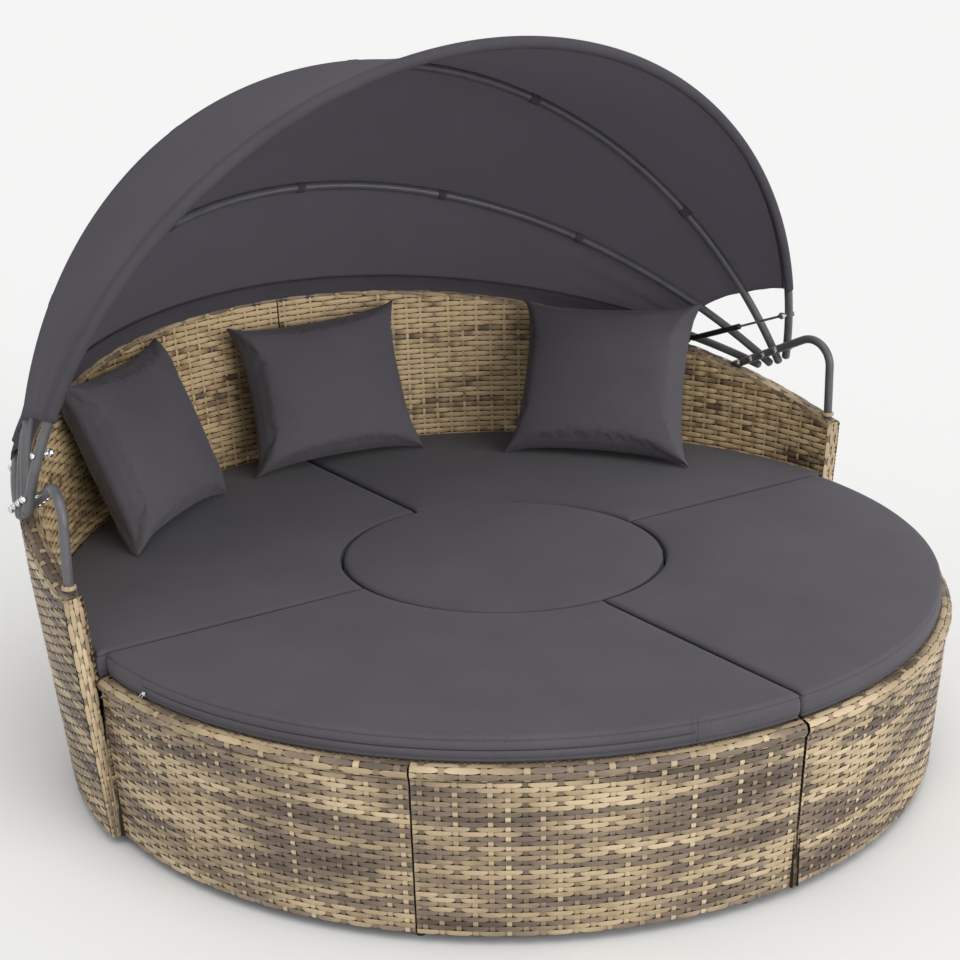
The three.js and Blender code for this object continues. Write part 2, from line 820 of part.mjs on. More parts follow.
function makeCloth(index) {
  const offset = tubeRadius + clothLift + clothThickness / 2;
  const rim = (hoopIndex, share) => {
    const point = clothPoint(hoops[hoopIndex], clothStarts[hoopIndex], share);
    return point.addScaledVector(clothNormal(hoopIndex, share), offset);
  };
  return formed(clothSteps, clothRows, 1, (u, v, w) => {
    const share = u + 0.5;
    const rear = rim(index, share);
    const front = rim(index + 1, share);
    const seam = clothSeam / 2 / rear.distanceTo(front);
    const way = THREE.MathUtils.lerp(seam, 1 - seam, v + 0.5);
    const out = clothNormal(index, share).lerp(clothNormal(index + 1, share), way).normalize();
    const sag = clothSag * (1 - 4 * v * v) * Math.sin(Math.PI * share);
    return rear.lerp(front, way).addScaledVector(out, w * clothThickness - sag);
  });
}

// Cushions: crowned on top, flat below, with rounded edges and sides drawn in between the corners
const crownShare = (u, v) => Math.sqrt(Math.max(0, (1 - 4 * u * u) * (1 - 4 * v * v)));
const edgeInset = (w) => cushionEdge * (1 - Math.sqrt(1 - Math.min(1, 4 * w * w)));

function cushionSides(radius, inset, u) {
  const draw = cushionDraw * Math.cos(Math.PI * u);
  return Math.asin((cushionGap / 2 + inset + draw) / radius);
}

function makeSectorCushion(outerRadius) {
  return formed(cushionColumns, cushionRows, cushionLayers, (u, v, w) => {
    const inset = edgeInset(w);
    const radius = THREE.MathUtils.lerp(cushionInnerRadius + inset, outerRadius - inset, u + 0.5);
    const side = cushionSides(radius, inset, u);
    const angle = THREE.MathUtils.lerp(side, rightAngle - side, v + 0.5);
    const crown = w > 0 ? cushionCrown * crownShare(u, v) : 0;
    const height = cushionBottom + (w + 0.5) * (cushionThickness + crown);
    return new THREE.Vector3(radius * Math.cos(angle), radius * Math.sin(angle), height);
  });
}

function makeRoundCushion() {
  const top = cushionBottom + cushionThickness;
  const side = roundSideShares.map((w) => [
    roundCushionRadius - edgeInset(w),
    cushionBottom + (w + 0.5) * cushionThickness,
  ]);
  const crown = roundCrownShares.map((share) => [
    share * roundCushionRadius,
    top + cushionCrown * Math.sqrt(1 - share ** 2),
  ]);
  const profile = [[0, cushionBottom], ...side, ...crown, [0, top + cushionCrown]];
  return geometryOf(solid(revolve(profile, roundSteps)));
}

// Height of the rear seat cushions' top at one place
function seatTopAt(x, y) {
  const radius = Math.hypot(x, y);
  const u = THREE.MathUtils.mapLinear(
    radius,
    cushionInnerRadius + cushionEdge,
    rearCushionRadius - cushionEdge,
    -0.5,
    0.5,
  );
  const side = Math.asin((cushionGap / 2 + cushionEdge) / radius);
  const angle = Math.atan2(y, Math.abs(x));
  const v = THREE.MathUtils.mapLinear(angle, side, rightAngle - side, -0.5, 0.5);
  return cushionBottom + cushionThickness + cushionCrown * crownShare(u, v);
}

// Pillow: drawn in along its edges, standing on the seat and leaning back against the wall
function makePillowForm() {
  return formed(pillowGrid, pillowGrid, 1, (u, v, w) => {
    const body = ((1 - 4 * u * u) * (1 - 4 * v * v)) ** pillowBodyShare;
    const depth = THREE.MathUtils.lerp(pillowEdge, pillowThickness, body);
    const across = 1 - pillowDrawShare * (1 - 4 * v * v);
    const tall = 1 - pillowDrawShare * (1 - 4 * u * u);
    return new THREE.Vector3(u * pillowWidth * across, w * depth, (v + 0.5) * pillowHeight * tall
      + (1 - tall) * pillowHeight / 2);
  });
}

const pillowRadiusShares = { left: 0.794, middle: 0.823, right: 0.742 };
const pillowAngles = { left: 127.2, middle: 84.3, right: 37.5 };
const pillowLeans = { left: 28, middle: 24, right: 32 };

function placePillow(mesh, side) {
  const angle = THREE.MathUtils.degToRad(pillowAngles[side]);
  const radius = pillowRadiusShares[side] * rearCushionRadius;
  mesh.rotation.order = 'ZXY';
  mesh.rotation.set(-THREE.MathUtils.degToRad(pillowLeans[side]), 0, angle - rightAngle);
  mesh.position.set(radius * Math.cos(angle), radius * Math.sin(angle), 0);
  mesh.updateMatrix();
  const spots = mesh.geometry.attributes.position;
  let rise = 0;
  for (let i = 0; i < spots.count; i += 1) {
    const spot = new THREE.Vector3().fromBufferAttribute(spots, i).applyMatrix4(mesh.matrix);
    rise = Math.max(rise, seatTopAt(spot.x, spot.y) + fit - spot.z);
  }
  mesh.position.z = rise;
}

// Table: a woven drum with a deck and its own frame
function makeTableShell() {
  const radiusAt = () => tableRadius;
  const inner = tableRadius - skirtThickness;
  return geometryOf(solid(revolve([
    [inner, floorGap],
    [tableRadius, floorGap],
    ...rollProfile(radiusAt),
    [inner, seatHeight],
    [inner, floorGap],
  ], roundSteps)));
}

const tableInside = tableRadius - skirtThickness - fit;

function makeTableTop() {
  const bottom = seatHeight - tableTopThickness;
  return geometryOf(solid(revolve([
    [0, bottom],
    [tableInside, bottom],
    [tableInside, seatHeight],
    [0, seatHeight],
  ], roundSteps)));
}

function makeTableFrame() {
  const ring = (bottom) => solid(revolve([
    [tableInside - frameTube, bottom],
    [tableInside, bottom],
    [tableInside, bottom + frameTube],
    [tableInside - frameTube, bottom + frameTube],
    [tableInside - frameTube, bottom],
  ], tableRingSteps));
  const upper = seatHeight - tableTopThickness - fit - frameTube;
  const legs = Array.from({ length: tableLegs }, (_, count) => {
    const radiusAt = () => tableInside * Math.cos(2 * Math.PI / roundSteps) - frameTube / 2;
    return post(radiusAt, (count + 0.5) * 2 * Math.PI / tableLegs);
  });
  return geometryOf(legs.reduce((body, leg) => body.add(leg), ring(lowerRingHeight).add(ring(upper))));
}

// Zip slider with its pull hanging down
function makeZipSlider() {
  const face = frontCushionRadius - edgeInset(0.5 / cushionLayers) + fit;
  const height = cushionBottom + zipRise;
  const body = new THREE.BoxGeometry(zipBodyDepth, zipBodyLength, zipBodyWidth);
  body.translate(face + zipBodyDepth / 2, 0, height);
  const pull = new THREE.Shape();
  pull.absarc(0, 0, zipPullWidth / 2, 0, Math.PI, false);
  pull.lineTo(-zipPullWidth / 2, -zipPullLength + zipPullWidth / 2);
  pull.absarc(0, -zipPullLength + zipPullWidth / 2, zipTipShare * zipPullWidth, Math.PI, 2 * Math.PI, false);
  const tab = new THREE.ExtrudeGeometry(pull, {
    depth: zipPullThickness,
    bevelEnabled: false,
    curveSegments: zipSegments,
  });
  tab.rotateX(rightAngle);
  tab.rotateZ(rightAngle);
  tab.translate(face + zipBodyDepth - zipPullThickness / 2, 0, height);
  return geometryOf(solid(body).add(solid(tab)));
}

// Finishes
const finish = (color, roughness, metalness) => () => new THREE.MeshStandardMaterial({
  color,
  roughness,
  metalness,
});
const wicker = finish('#a89f8f', 0.75, 0);
const steel = finish('#4c4b4a', 0.5, 0.4);
const chrome = finish('#c9cccf', 0.2, 1);
const fabric = finish('#5f5b57', 0.95, 0);
const pillowFabric = finish('#8d867d', 0.95, 0);

const daybed = new THREE.Group();

function put(name, geometry, material, turn = 0) {
  const mesh = new THREE.Mesh(geometry, material());
  mesh.name = name;
  mesh.rotation.z = turn;
  daybed.add(mesh);
  return mesh;
}

function putPair(name, geometry, material) {
  put(`right_${name}`, geometry, material);
  put(`left_${name}`, mirrored(geometry), material);
}

// Sofa
const railHole = along(makeRailPath(railPlug + overrun), tubeRadius + fit, railSteps);
putPair('sofa_wall', makeWall(railHole), wicker);
putPair('sofa_skirt', makeSofaSkirt(), wicker);
putPair('sofa_deck', makeDeck(sofaHalf), wicker);
putPair('sofa_frame', makeFrame(sofaHalf, linkHoles()), steel);
put('link_bolt_inner', makeLinkBolt(linkPlaces[0]), chrome);
put('link_bolt_outer', makeLinkBolt(linkPlaces[1]), chrome);

// Ottomans: the right one turned back by a quarter, the left one by half a turn
const ottomanTurns = { right: -rightAngle, left: Math.PI };
Object.entries(ottomanTurns).forEach(([side, turn]) => {
  put(`${side}_ottoman_skirt`, makeOttomanSkirt(), wicker, turn);
  put(`${side}_ottoman_deck`, makeDeck(ottoman), wicker, turn);
  put(`${side}_ottoman_frame`, makeFrame(ottoman, []), steel, turn);
  put(`${side}_ottoman_cushion`, makeSectorCushion(frontCushionRadius), fabric, turn);
});
putPair('seat_cushion', makeSectorCushion(rearCushionRadius), fabric);

// Table
put('table_drum', makeTableShell(), wicker);
put('table_top', makeTableTop(), wicker);
put('table_frame', makeTableFrame(), steel);
put('round_cushion', makeRoundCushion(), fabric);

// Pillows
['left', 'middle', 'right'].forEach((side) => {
  placePillow(put(`${side}_pillow`, makePillowForm(), pillowFabric), side);
});

// Canopy mechanism
putPair('rail', makeRail(), steel);
hoops.forEach((hoop, i) => {
  const studs = { 0: [rearSeat, onOtherSide(rearSeat)], 3: [frontSeat, onOtherSide(frontSeat)] };
  put(`hoop_${i + 1}`, makeHoop(hoop, studs[i] ?? []), steel);
  putPair(`pivot_bolt_${i + 1}`, makePivotBolt(hoop), chrome);
});
putPair('rear_ball_stud', makeRearStud(), chrome);
putPair('front_strut_pin', makeFrontPin(), chrome);
putPair('strut_cylinder', makeStrutCylinder(), steel);
putPair('strut_rod', makeStrutRod(), chrome);

// Canopy cloth, rear to front
['rear', 'middle', 'front'].forEach((name, i) => put(`${name}_canopy_cloth`, makeCloth(i), fabric));

const zipSide = cushionSides(frontCushionRadius, 0, 0.5);
const zipTurn = Math.PI + THREE.MathUtils.lerp(zipSide, rightAngle - zipSide, zipStartShare);
put('zip_slider', makeZipSlider(), chrome, zipTurn);

// The origin of the finished part is under the middle of its box, on the floor
const frontReach = skirtRadius(seatHeight) + rollBulge;
const backReach = wallOuter(rimBack - rimEdge);
daybed.position.y = (frontReach - backReach) / 2;

export default daybed;
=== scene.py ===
# Round outdoor daybed: a sofa, two ottomans and a table of woven resin over metal frames, grey
# cushions and pillows, and a canopy of cloth on folding tube hoops. Metres, in the frame's axes.
import math

import bmesh
import bpy
import numpy as np
from mathutils import Matrix, Vector


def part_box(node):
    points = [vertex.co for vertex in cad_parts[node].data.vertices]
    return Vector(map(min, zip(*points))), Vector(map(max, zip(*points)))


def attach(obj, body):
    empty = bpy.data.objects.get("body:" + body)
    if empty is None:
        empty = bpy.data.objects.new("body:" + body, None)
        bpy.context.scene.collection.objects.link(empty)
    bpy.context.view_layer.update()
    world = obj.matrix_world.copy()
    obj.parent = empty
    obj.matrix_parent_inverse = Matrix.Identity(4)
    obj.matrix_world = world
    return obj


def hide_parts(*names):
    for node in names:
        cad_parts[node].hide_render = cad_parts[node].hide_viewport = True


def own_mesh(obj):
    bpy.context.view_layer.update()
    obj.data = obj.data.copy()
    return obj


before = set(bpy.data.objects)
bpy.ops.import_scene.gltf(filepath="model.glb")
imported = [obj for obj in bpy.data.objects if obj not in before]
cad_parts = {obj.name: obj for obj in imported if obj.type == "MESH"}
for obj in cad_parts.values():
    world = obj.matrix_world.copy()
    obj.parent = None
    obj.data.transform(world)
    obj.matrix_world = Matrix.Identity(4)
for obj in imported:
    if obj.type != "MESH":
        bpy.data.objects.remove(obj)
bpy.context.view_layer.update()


# Studio: a plain pale floor under soft white light, seen from the place of the photograph.
# The camera stands to the left of the daybed and a little above it, and leans by one degree.
camera_target = Vector((0.029, 0.0885, 0.5089))
camera_azimuth = math.radians(-34.03)
camera_elevation = math.radians(17.67)
camera_roll = math.radians(-1.05)
camera_distance = 3.98
camera_lens_share = 1895.5 / 960  # focal length over the width of the picture
sensor_width = 36.0
floor_reach = 60.0
floor_colour = (0.86, 0.86, 0.855, 1)
white = (1, 1, 1, 1)
dome_strength = 0.70
backdrop_strength = 1.0
suns = {  # azimuth and elevation in degrees, strength, and the angle the light spreads over
    "key_light": (10, 10, 1.75, 50),
    "top_light": (-10, 65, 0.85, 50),
    "fill_light": (-75, 30, 0.08, 60),
}


def direction_at(azimuth, elevation):
    """The unit vector from the daybed towards a lamp or camera; azimuth 0 is the front."""
    level = math.cos(elevation)
    return Vector((math.sin(azimuth) * level, -math.cos(azimuth) * level, math.sin(elevation)))


def show(name, data):
    thing = bpy.data.objects.new(name, data)
    bpy.context.scene.collection.objects.link(thing)
    return thing


camera = show("camera", bpy.data.cameras.new("camera"))
camera.data.sensor_width = sensor_width
camera.data.lens = camera_lens_share * sensor_width
camera_back = direction_at(camera_azimuth, camera_elevation)
level_right = (-camera_back).cross(Vector((0, 0, 1))).normalized()
level_up = level_right.cross(-camera_back)
camera_right = math.cos(camera_roll) * level_right + math.sin(camera_roll) * level_up
camera_up = math.cos(camera_roll) * level_up - math.sin(camera_roll) * level_right
camera_turn = Matrix((camera_right, camera_up, camera_back)).transposed().to_4x4()
camera_place = camera_target + camera_distance * camera_back
camera.matrix_world = Matrix.Translation(camera_place) @ camera_turn
bpy.context.scene.camera = camera
bpy.context.scene.view_settings.view_transform = "Standard"


def add_node(tree, kind, inputs=None, **settings):
    """A new node. Its inputs, by name or number, are values, Numbers or other nodes' outputs."""
    node = tree.nodes.new(kind)
    for name, value in settings.items():
        setattr(node, name, value)
    for key, value in (inputs or {}).items():
        value = getattr(value, "socket", value)
        if isinstance(value, bpy.types.NodeSocket):
            tree.links.new(value, node.inputs[key])
        else:
            node.inputs[key].default_value = value
    return node


def new_material(name):
    material = bpy.data.materials.new(name)
    material.use_nodes = True
    material.node_tree.nodes.clear()
    return material, material.node_tree


def shaded(tree, inputs):
    """Ends a material in one Principled shader."""
    shader = add_node(tree, "ShaderNodeBsdfPrincipled", inputs)
    add_node(tree, "ShaderNodeOutputMaterial", {"Surface": shader.outputs[0]})


world = bpy.data.worlds.new("surround")
bpy.context.scene.world = world
world.use_nodes = True
sky = world.node_tree
sky.nodes.clear()
seen = add_node(sky, "ShaderNodeLightPath").outputs["Is Camera Ray"]
dome = add_node(sky, "ShaderNodeBackground", {"Color": white, "Strength": dome_strength})
backdrop = add_node(sky, "ShaderNodeBackground", {"Color": white, "Strength": backdrop_strength})
both = add_node(sky, "ShaderNodeMixShader", {0: seen, 1: dome.outputs[0], 2: backdrop.outputs[0]})
add_node(sky, "ShaderNodeOutputWorld", {"Surface": both.outputs[0]})

floor_mesh = bpy.data.meshes.new("floor")
floor_signs = ((-1, -1), (1, -1), (1, 1), (-1, 1))
floor_corners = [(floor_reach * x, floor_reach * y, 0) for x, y in floor_signs]
floor_mesh.from_pydata(floor_corners, [], [(0, 1, 2, 3)])
floor = show("floor", floor_mesh)
floor_material, floor_tree = new_material("pale floor")
shaded(floor_tree, {"Base Color": floor_colour, "Roughness": 0.9, "Specular IOR Level": 0.1})
floor_mesh.materials.append(floor_material)

for name, (azimuth, elevation, strength, softness) in suns.items():
    lamp = show(name, bpy.data.lights.new(name, "SUN"))
    lamp.data.energy = strength
    lamp.data.angle = math.radians(softness)
    towards = direction_at(math.radians(azimuth), math.radians(elevation))
    lamp.rotation_euler = towards.to_track_quat("Z", "Y").to_euler()


# Resin strand: flat extruded strip in mixed sand and grey-brown, with fine grooves along it.
# Its UV map holds metres along the strand, and the number of the strand plus the share across it.
strand_tones = (
    (0.00, (0.084, 0.057, 0.038, 1)),
    (0.34, (0.158, 0.116, 0.085, 1)),
    (0.50, (0.243, 0.181, 0.121, 1)),
    (0.64, (0.385, 0.290, 0.170, 1)),
    (1.00, (0.590, 0.462, 0.295, 1)),
)
shadow_tones = ((0.0, (0.012, 0.009, 0.006, 1)), (1.0, (0.035, 0.026, 0.018, 1)))
warp_number = 200.5  # strands are numbered from 0 in a band, and its warps from here
bound_number = 400.0  # added to the numbers of the light strands that bind an edge
inner_number = 800.0  # and to those of the golden ones inside the backrest
# The last step, for the golden strands inside the backrest, is painted light for the light that
# falls inside it; the other two steps and the golden tint are the strands' own colour.
lighter_from = ((warp_number, 0.08), (bound_number, 0.10), (inner_number, 0.20))
golden_tint = (1.06, 0.99, 0.86, 1)
middle_shade = 1.09  # taken off the sum of the noises, so that it falls on the tones' middle


class Number:
    """A number that nodes work out; sums with it add more of them."""

    def __init__(self, tree, socket):
        self.tree = tree
        self.socket = socket

    def math(self, operation, other=0.0, turned=False):
        terms = {0: other, 1: self} if turned else {0: self, 1: other}
        node = add_node(self.tree, "ShaderNodeMath", terms, operation=operation)
        return Number(self.tree, node.outputs[0])

    def __add__(self, other):
        return self.math("ADD", other)

    def __sub__(self, other):
        return self.math("SUBTRACT", other)

    def __rsub__(self, other):
        return self.math("SUBTRACT", other, turned=True)

    def __mul__(self, other):
        return self.math("MULTIPLY", other)

    def __truediv__(self, other):
        return self.math("DIVIDE", other)

    def size(self):
        return self.math("ABSOLUTE")

    def floor(self):
        return self.math("FLOOR")


def vector_node(tree, operation, a, b=(0, 0, 0)):
    node = add_node(tree, "ShaderNodeVectorMath", {0: a, 1: b}, operation=operation)
    return node.outputs["Vector"]


def scaled_vector(tree, vector, scale):
    inputs = {0: vector, "Scale": scale}
    return add_node(tree, "ShaderNodeVectorMath", inputs, operation="SCALE").outputs["Vector"]


def combined(tree, x=0.0, y=0.0, z=0.0):
    return add_node(tree, "ShaderNodeCombineXYZ", {"X": x, "Y": y, "Z": z}).outputs[0]


def separated(tree, vector):
    parts = add_node(tree, "ShaderNodeSeparateXYZ", {0: vector}).outputs
    return [Number(tree, part) for part in parts]


def object_place(tree):
    return add_node(tree, "ShaderNodeTexCoord").outputs["Object"]


def noise_node(tree, vector, scale, detail=2.0, roughness=0.5):
    inputs = {"Vector": vector, "Scale": scale, "Detail": detail, "Roughness": roughness}
    node = add_node(tree, "ShaderNodeTexNoise", inputs, noise_dimensions="3D")
    return Number(tree, node.outputs[0])


def tone_ramp(tree, factor, stops):
    ramp = add_node(tree, "ShaderNodeValToRGB", {"Fac": factor})
    elements = ramp.color_ramp.elements
    elements[0].position, elements[0].color = stops[0]
    elements[1].position, elements[1].color = stops[-1]
    for position, colour in stops[1:-1]:
        elements.new(position).color = colour
    return ramp.outputs["Color"]


def bumped(tree, height, strength, distance):
    inputs = {"Strength": strength, "Distance": distance, "Height": height}
    return add_node(tree, "ShaderNodeBump", inputs).outputs[0]


def ranged(tree, value, low, high):
    inputs = {"Value": value, "To Min": low, "To Max": high}
    return add_node(tree, "ShaderNodeMapRange", inputs).outputs[0]


def make_strand_material():
    material, tree = new_material("resin strand")
    along, number, _ = separated(tree, add_node(tree, "ShaderNodeUVMap", uv_map="UVMap").outputs[0])
    strand = number.floor()

    def grain(stretch, across, step, detail=1.0):
        """Noise along the strand, another one at each step across it or from strand to strand."""
        return noise_node(tree, combined(tree, along * stretch, across * step), 1.0, detail)

    streak = grain(55.0, number, 9.0, 3.0)
    shade = grain(3.4, strand, 0.27) * 1.9 + grain(6.0, strand, 3.7) + streak * 0.35 - middle_shade
    # Lighter tones for the warps and binding strands, and painted light on the strands inside the
    # backrest
    for start, lighter in lighter_from:
        shade = shade + number.math("GREATER_THAN", start - 1) * lighter
    golden = number.math("GREATER_THAN", inner_number - 1)
    shade = shade + golden * ((grain(24.0, strand, 5.3) - 0.5) * 1.7)
    tints = {0: golden, 6: tone_ramp(tree, shade, strand_tones), 7: golden_tint}
    tinted = add_node(tree, "ShaderNodeMix", tints, data_type="RGBA", blend_type="MULTIPLY")
    shaded(tree, {
        "Base Color": tinted.outputs[2],
        "Roughness": ranged(tree, streak, 0.36, 0.60),
        "Normal": bumped(tree, grain(20.0, number, 14.0, 2.0), 0.45, 0.0006),
    })
    return material


strand_material = make_strand_material()
shadow_material, shadow_tree = new_material("dark behind the weave")
shadow_shade = noise_node(shadow_tree, object_place(shadow_tree), 60.0)
shadow_colour = tone_ramp(shadow_tree, shadow_shade, shadow_tones)
shaded(shadow_tree, {"Base Color": shadow_colour, "Roughness": 0.9})


# Weave: strands laid along a path, one above the other up a profile, each over one upright warp
# and under the next. The profile's first number points out of the band and its second one up it.
strand_steps = 6  # facets of a strand from warp to warp
cell_slack = 0.0001  # keeps the last vertex of a strand in its last cell
sway_reach = 0.4
numbered_width = 0.9  # of a strand in its UV map, from one number to the next
warp_metre = 0.009  # of a warp in its UV map, for each strand that it passes
shadow_depth = -1.6
weave_inputs = dict(Path="Object", Profile="Object", Upward="Vector", Rows="Int", Warps="Int")
for input_name in (
    "Wave", "Crown", "Warp Share", "Strand Share", "Pinch", "Number", "Taper", "Seed",
):
    weave_inputs[input_name] = "Float"


def new_group(name, kind, inputs, outputs):
    """An empty node group with named sockets, and the Numbers and objects that come in, by name."""
    group = bpy.data.node_groups.new(name, kind)
    for way, sockets in (("INPUT", inputs), ("OUTPUT", outputs)):
        for title, socket in sockets.items():
            group.interface.new_socket(title, in_out=way, socket_type=f"NodeSocket{socket}")
    given = group.nodes.new("NodeGroupInput").outputs
    return group, {socket.name: Number(group, socket) for socket in given}


weave_tree, weave_given = new_group(
    "woven band", "GeometryNodeTree", weave_inputs, {"Geometry": "Geometry"},
)


def fill_weave_tree(tree, given):
    paths, profiles = [
        add_node(tree, "GeometryNodeObjectInfo", {"Object": given[name]}).outputs["Geometry"]
        for name in ("Path", "Profile")
    ]
    length = add_node(tree, "GeometryNodeCurveLength", {0: paths}).outputs[0]

    def sampled(curve, share):
        inputs = {"Curves": curve, "Factor": share}
        return add_node(tree, "GeometryNodeSampleCurve", inputs, use_all_curves=True).outputs

    def place(along, up, out):
        """The spot at shares along the path and up the profile, and a distance out of the band."""
        path, side = sampled(paths, along), sampled(profiles, up)
        level = vector_node(tree, "CROSS_PRODUCT", path["Tangent"], given["Upward"])
        outward = vector_node(tree, "NORMALIZE", level)
        upward = vector_node(tree, "CROSS_PRODUCT", outward, path["Tangent"])
        spot, slope = separated(tree, side["Position"]), separated(tree, side["Tangent"])
        far = spot[0] + slope[2] * out
        high = (spot[2] - slope[0] * out) * (1.0 - given["Taper"] * (1.0 - along))
        moved = vector_node(tree, "ADD", path["Position"], scaled_vector(tree, outward, far))
        return vector_node(tree, "ADD", moved, scaled_vector(tree, upward, high))

    def stored(geometry, name, value, **kind):
        inputs = {"Geometry": geometry, "Name": name, "Value": value}
        return add_node(tree, "GeometryNodeStoreNamedAttribute", inputs, **kind).outputs[0]

    def grid(columns, rows):
        inputs = {"Size X": 1.0, "Size Y": 1.0, "Vertices X": columns, "Vertices Y": rows}
        return add_node(tree, "GeometryNodeMeshGrid", inputs).outputs["Mesh"]

    def copies(count, strip, name):
        """Copies of a strip that lie on one another, each with its number in an attribute."""
        index = add_node(tree, "GeometryNodeInputIndex").outputs[0]
        points = add_node(tree, "GeometryNodePoints", {"Count": count}).outputs[0]
        inputs = {"Points": stored(points, name, index, data_type="FLOAT"), "Instance": strip}
        placed = add_node(tree, "GeometryNodeInstanceOnPoints", inputs)
        return add_node(tree, "GeometryNodeRealizeInstances", {0: placed.outputs[0]}).outputs[0]

    def spread():
        """Where a vertex lies on its flat grid, from -0.5 to 0.5 both ways."""
        return separated(tree, add_node(tree, "GeometryNodeInputPosition").outputs[0])[:2]

    def numbered(name):
        inputs = {"Name": name}
        node = add_node(tree, "GeometryNodeInputNamedAttribute", inputs, data_type="FLOAT")
        return Number(tree, node.outputs["Attribute"])

    def laid(geometry, uv, position, material):
        mapped = stored(geometry, "UVMap", uv, data_type="FLOAT2", domain="CORNER")
        inputs = {"Geometry": mapped, "Position": position}
        moved = add_node(tree, "GeometryNodeSetPosition", inputs).outputs[0]
        smooth = add_node(tree, "GeometryNodeSetShadeSmooth", {"Geometry": moved}).outputs[0]
        inputs = {"Geometry": smooth, "Material": material}
        return add_node(tree, "GeometryNodeSetMaterial", inputs).outputs[0]

    def odd(total):
        return total.math("FLOORED_MODULO", 2.0)

    rows, warps, wave = given["Rows"], given["Warps"], given["Wave"]
    strands = copies(rows, grid(warps * float(strand_steps) + 1.0, 3), "row")
    x, y = spread()
    row = numbered("row")
    along = x + 0.5
    crossing = along * warps
    column = (crossing - cell_slack).floor()
    aside = crossing - column - 0.5  # from the warp that the strand crosses here
    near = (1.0 - (aside.size() * 2.5).math("POWER", 2.0)).math("MAXIMUM", 0.0)
    dip = odd(column + row) * near
    sway_at = combined(tree, crossing * 0.23, row * 1.7, given["Seed"])
    sway = (noise_node(tree, sway_at, 1.0, 1.0) - 0.5) * 0.35
    across = row + 0.5 + y * (given["Strand Share"] - dip * given["Pinch"])
    up = (across + sway * sway_reach) / rows
    rounded = (1.0 - y.size() * 2.0) * given["Crown"]
    out = (1.0 - dip * 2.0) * wave + rounded
    metres = along * length + given["Seed"] * 7.3
    strand_uv = combined(tree, metres, row + (given["Number"] + 0.5) + y * numbered_width)
    weft = laid(strands, strand_uv, place(along, up, out), strand_material)

    posts = copies(warps, grid(2, rows * 2.0 + 1.0), "column")
    x, y = spread()
    column = numbered("column")
    rise = (y + 0.5) * rows
    row = (rise - cell_slack).floor()
    bulge = 1.0 - (rise - row - 0.5).size() * 2.0
    front = odd(column + row) * 2.0 - 1.0
    out = front * bulge * (wave * 1.1)
    along = (column + 0.5 + x * given["Warp Share"]) / warps
    metres = rise * warp_metre + column * 1.37
    number = column + (given["Number"] + warp_number)
    post_uv = combined(tree, metres, number + x * numbered_width)
    warp = laid(posts, post_uv, place(along, y + 0.5, out), strand_material)

    sheet = grid(warps + 1.0, 7)
    x, y = spread()
    along, share_up = x + 0.5, y + 0.5
    behind = place(along, share_up, wave * shadow_depth)
    back = laid(sheet, combined(tree, along, share_up), behind, shadow_material)

    joined = add_node(tree, "GeometryNodeJoinGeometry")
    for part in (back, warp, weft):
        tree.links.new(part, joined.inputs[0])
    add_node(tree, "NodeGroupOutput", {0: joined.outputs[0]})


fill_weave_tree(weave_tree, weave_given)
weave_sockets = {
    item.name: item.identifier
    for item in weave_tree.interface.items_tree
    if item.item_type == "SOCKET" and item.in_out == "INPUT"
}


def guide_curve(name, points):
    data = bpy.data.curves.new(name, "CURVE")
    data.dimensions = "3D"
    spline = data.splines.new("POLY")
    spline.points.add(len(points) - 1)
    spline.points.foreach_set("co", np.array([(*point, 1.0) for point in points], float).ravel())
    return show(name, data)


def forget(*things):
    for thing in things:
        bpy.data.objects.remove(thing, do_unlink=True)


def evaluated(thing):
    return thing.evaluated_get(bpy.context.evaluated_depsgraph_get())


def path_length(points):
    steps = np.diff(np.array(points, float), axis=0)
    return float(np.linalg.norm(steps, axis=1).sum())


def woven(
    path, profile, row_pitch, warp_pitch, seed, upward=(0, 0, 1), wave=0.0015, crown=0.0011,
    warp_share=0.31, strand_share=0.97, pinch=0.46, number=0.0, taper=0.0,
):
    """The mesh of one woven band along a path, with strands one row pitch apart up the profile."""
    section = [(out, 0, up) for out, up in profile]
    guides = [guide_curve("path", path), guide_curve("profile", section)]
    maker = show("weave_maker", bpy.data.meshes.new("weave_maker"))
    modifier = maker.modifiers.new("weave", "NODES")
    modifier.node_group = weave_tree
    settings = {
        "Path": guides[0],
        "Profile": guides[1],
        "Upward": upward,
        "Rows": max(1, round(path_length(profile) / row_pitch)),
        "Warps": max(2, 2 * round(path_length(path) / warp_pitch / 2)),
        "Wave": wave,
        "Crown": crown,
        "Warp Share": warp_share,
        "Strand Share": strand_share,
        "Pinch": pinch,
        "Number": float(number),
        "Taper": float(taper),
        "Seed": float(seed),
    }
    for name, value in settings.items():
        modifier[weave_sockets[name]] = value
    mesh = bpy.data.meshes.new_from_object(evaluated(maker))
    forget(maker, *guides)
    return mesh


def joined_mesh(name, meshes, materials, cut=None):
    """One mesh of several; cut is the point and the outward normal of a plane that ends it."""
    whole = bmesh.new()
    for mesh in meshes:
        order = [materials.index(material) if material else 0 for material in mesh.materials]
        faces = np.zeros(len(mesh.polygons), np.int32)
        mesh.polygons.foreach_get("material_index", faces)
        mesh.polygons.foreach_set("material_index", np.array(order, np.int32)[faces])
        whole.from_mesh(mesh)
    if cut:
        point, outward = cut
        everything = list(whole.verts) + list(whole.edges) + list(whole.faces)
        bmesh.ops.bisect_plane(
            whole, geom=everything, plane_co=point, plane_no=outward, clear_outer=True,
        )
    mesh = bpy.data.meshes.new(name)
    whole.to_mesh(mesh)
    whole.free()
    for material in materials:
        mesh.materials.append(material)
    return mesh


weave_materials = [strand_material, shadow_material]


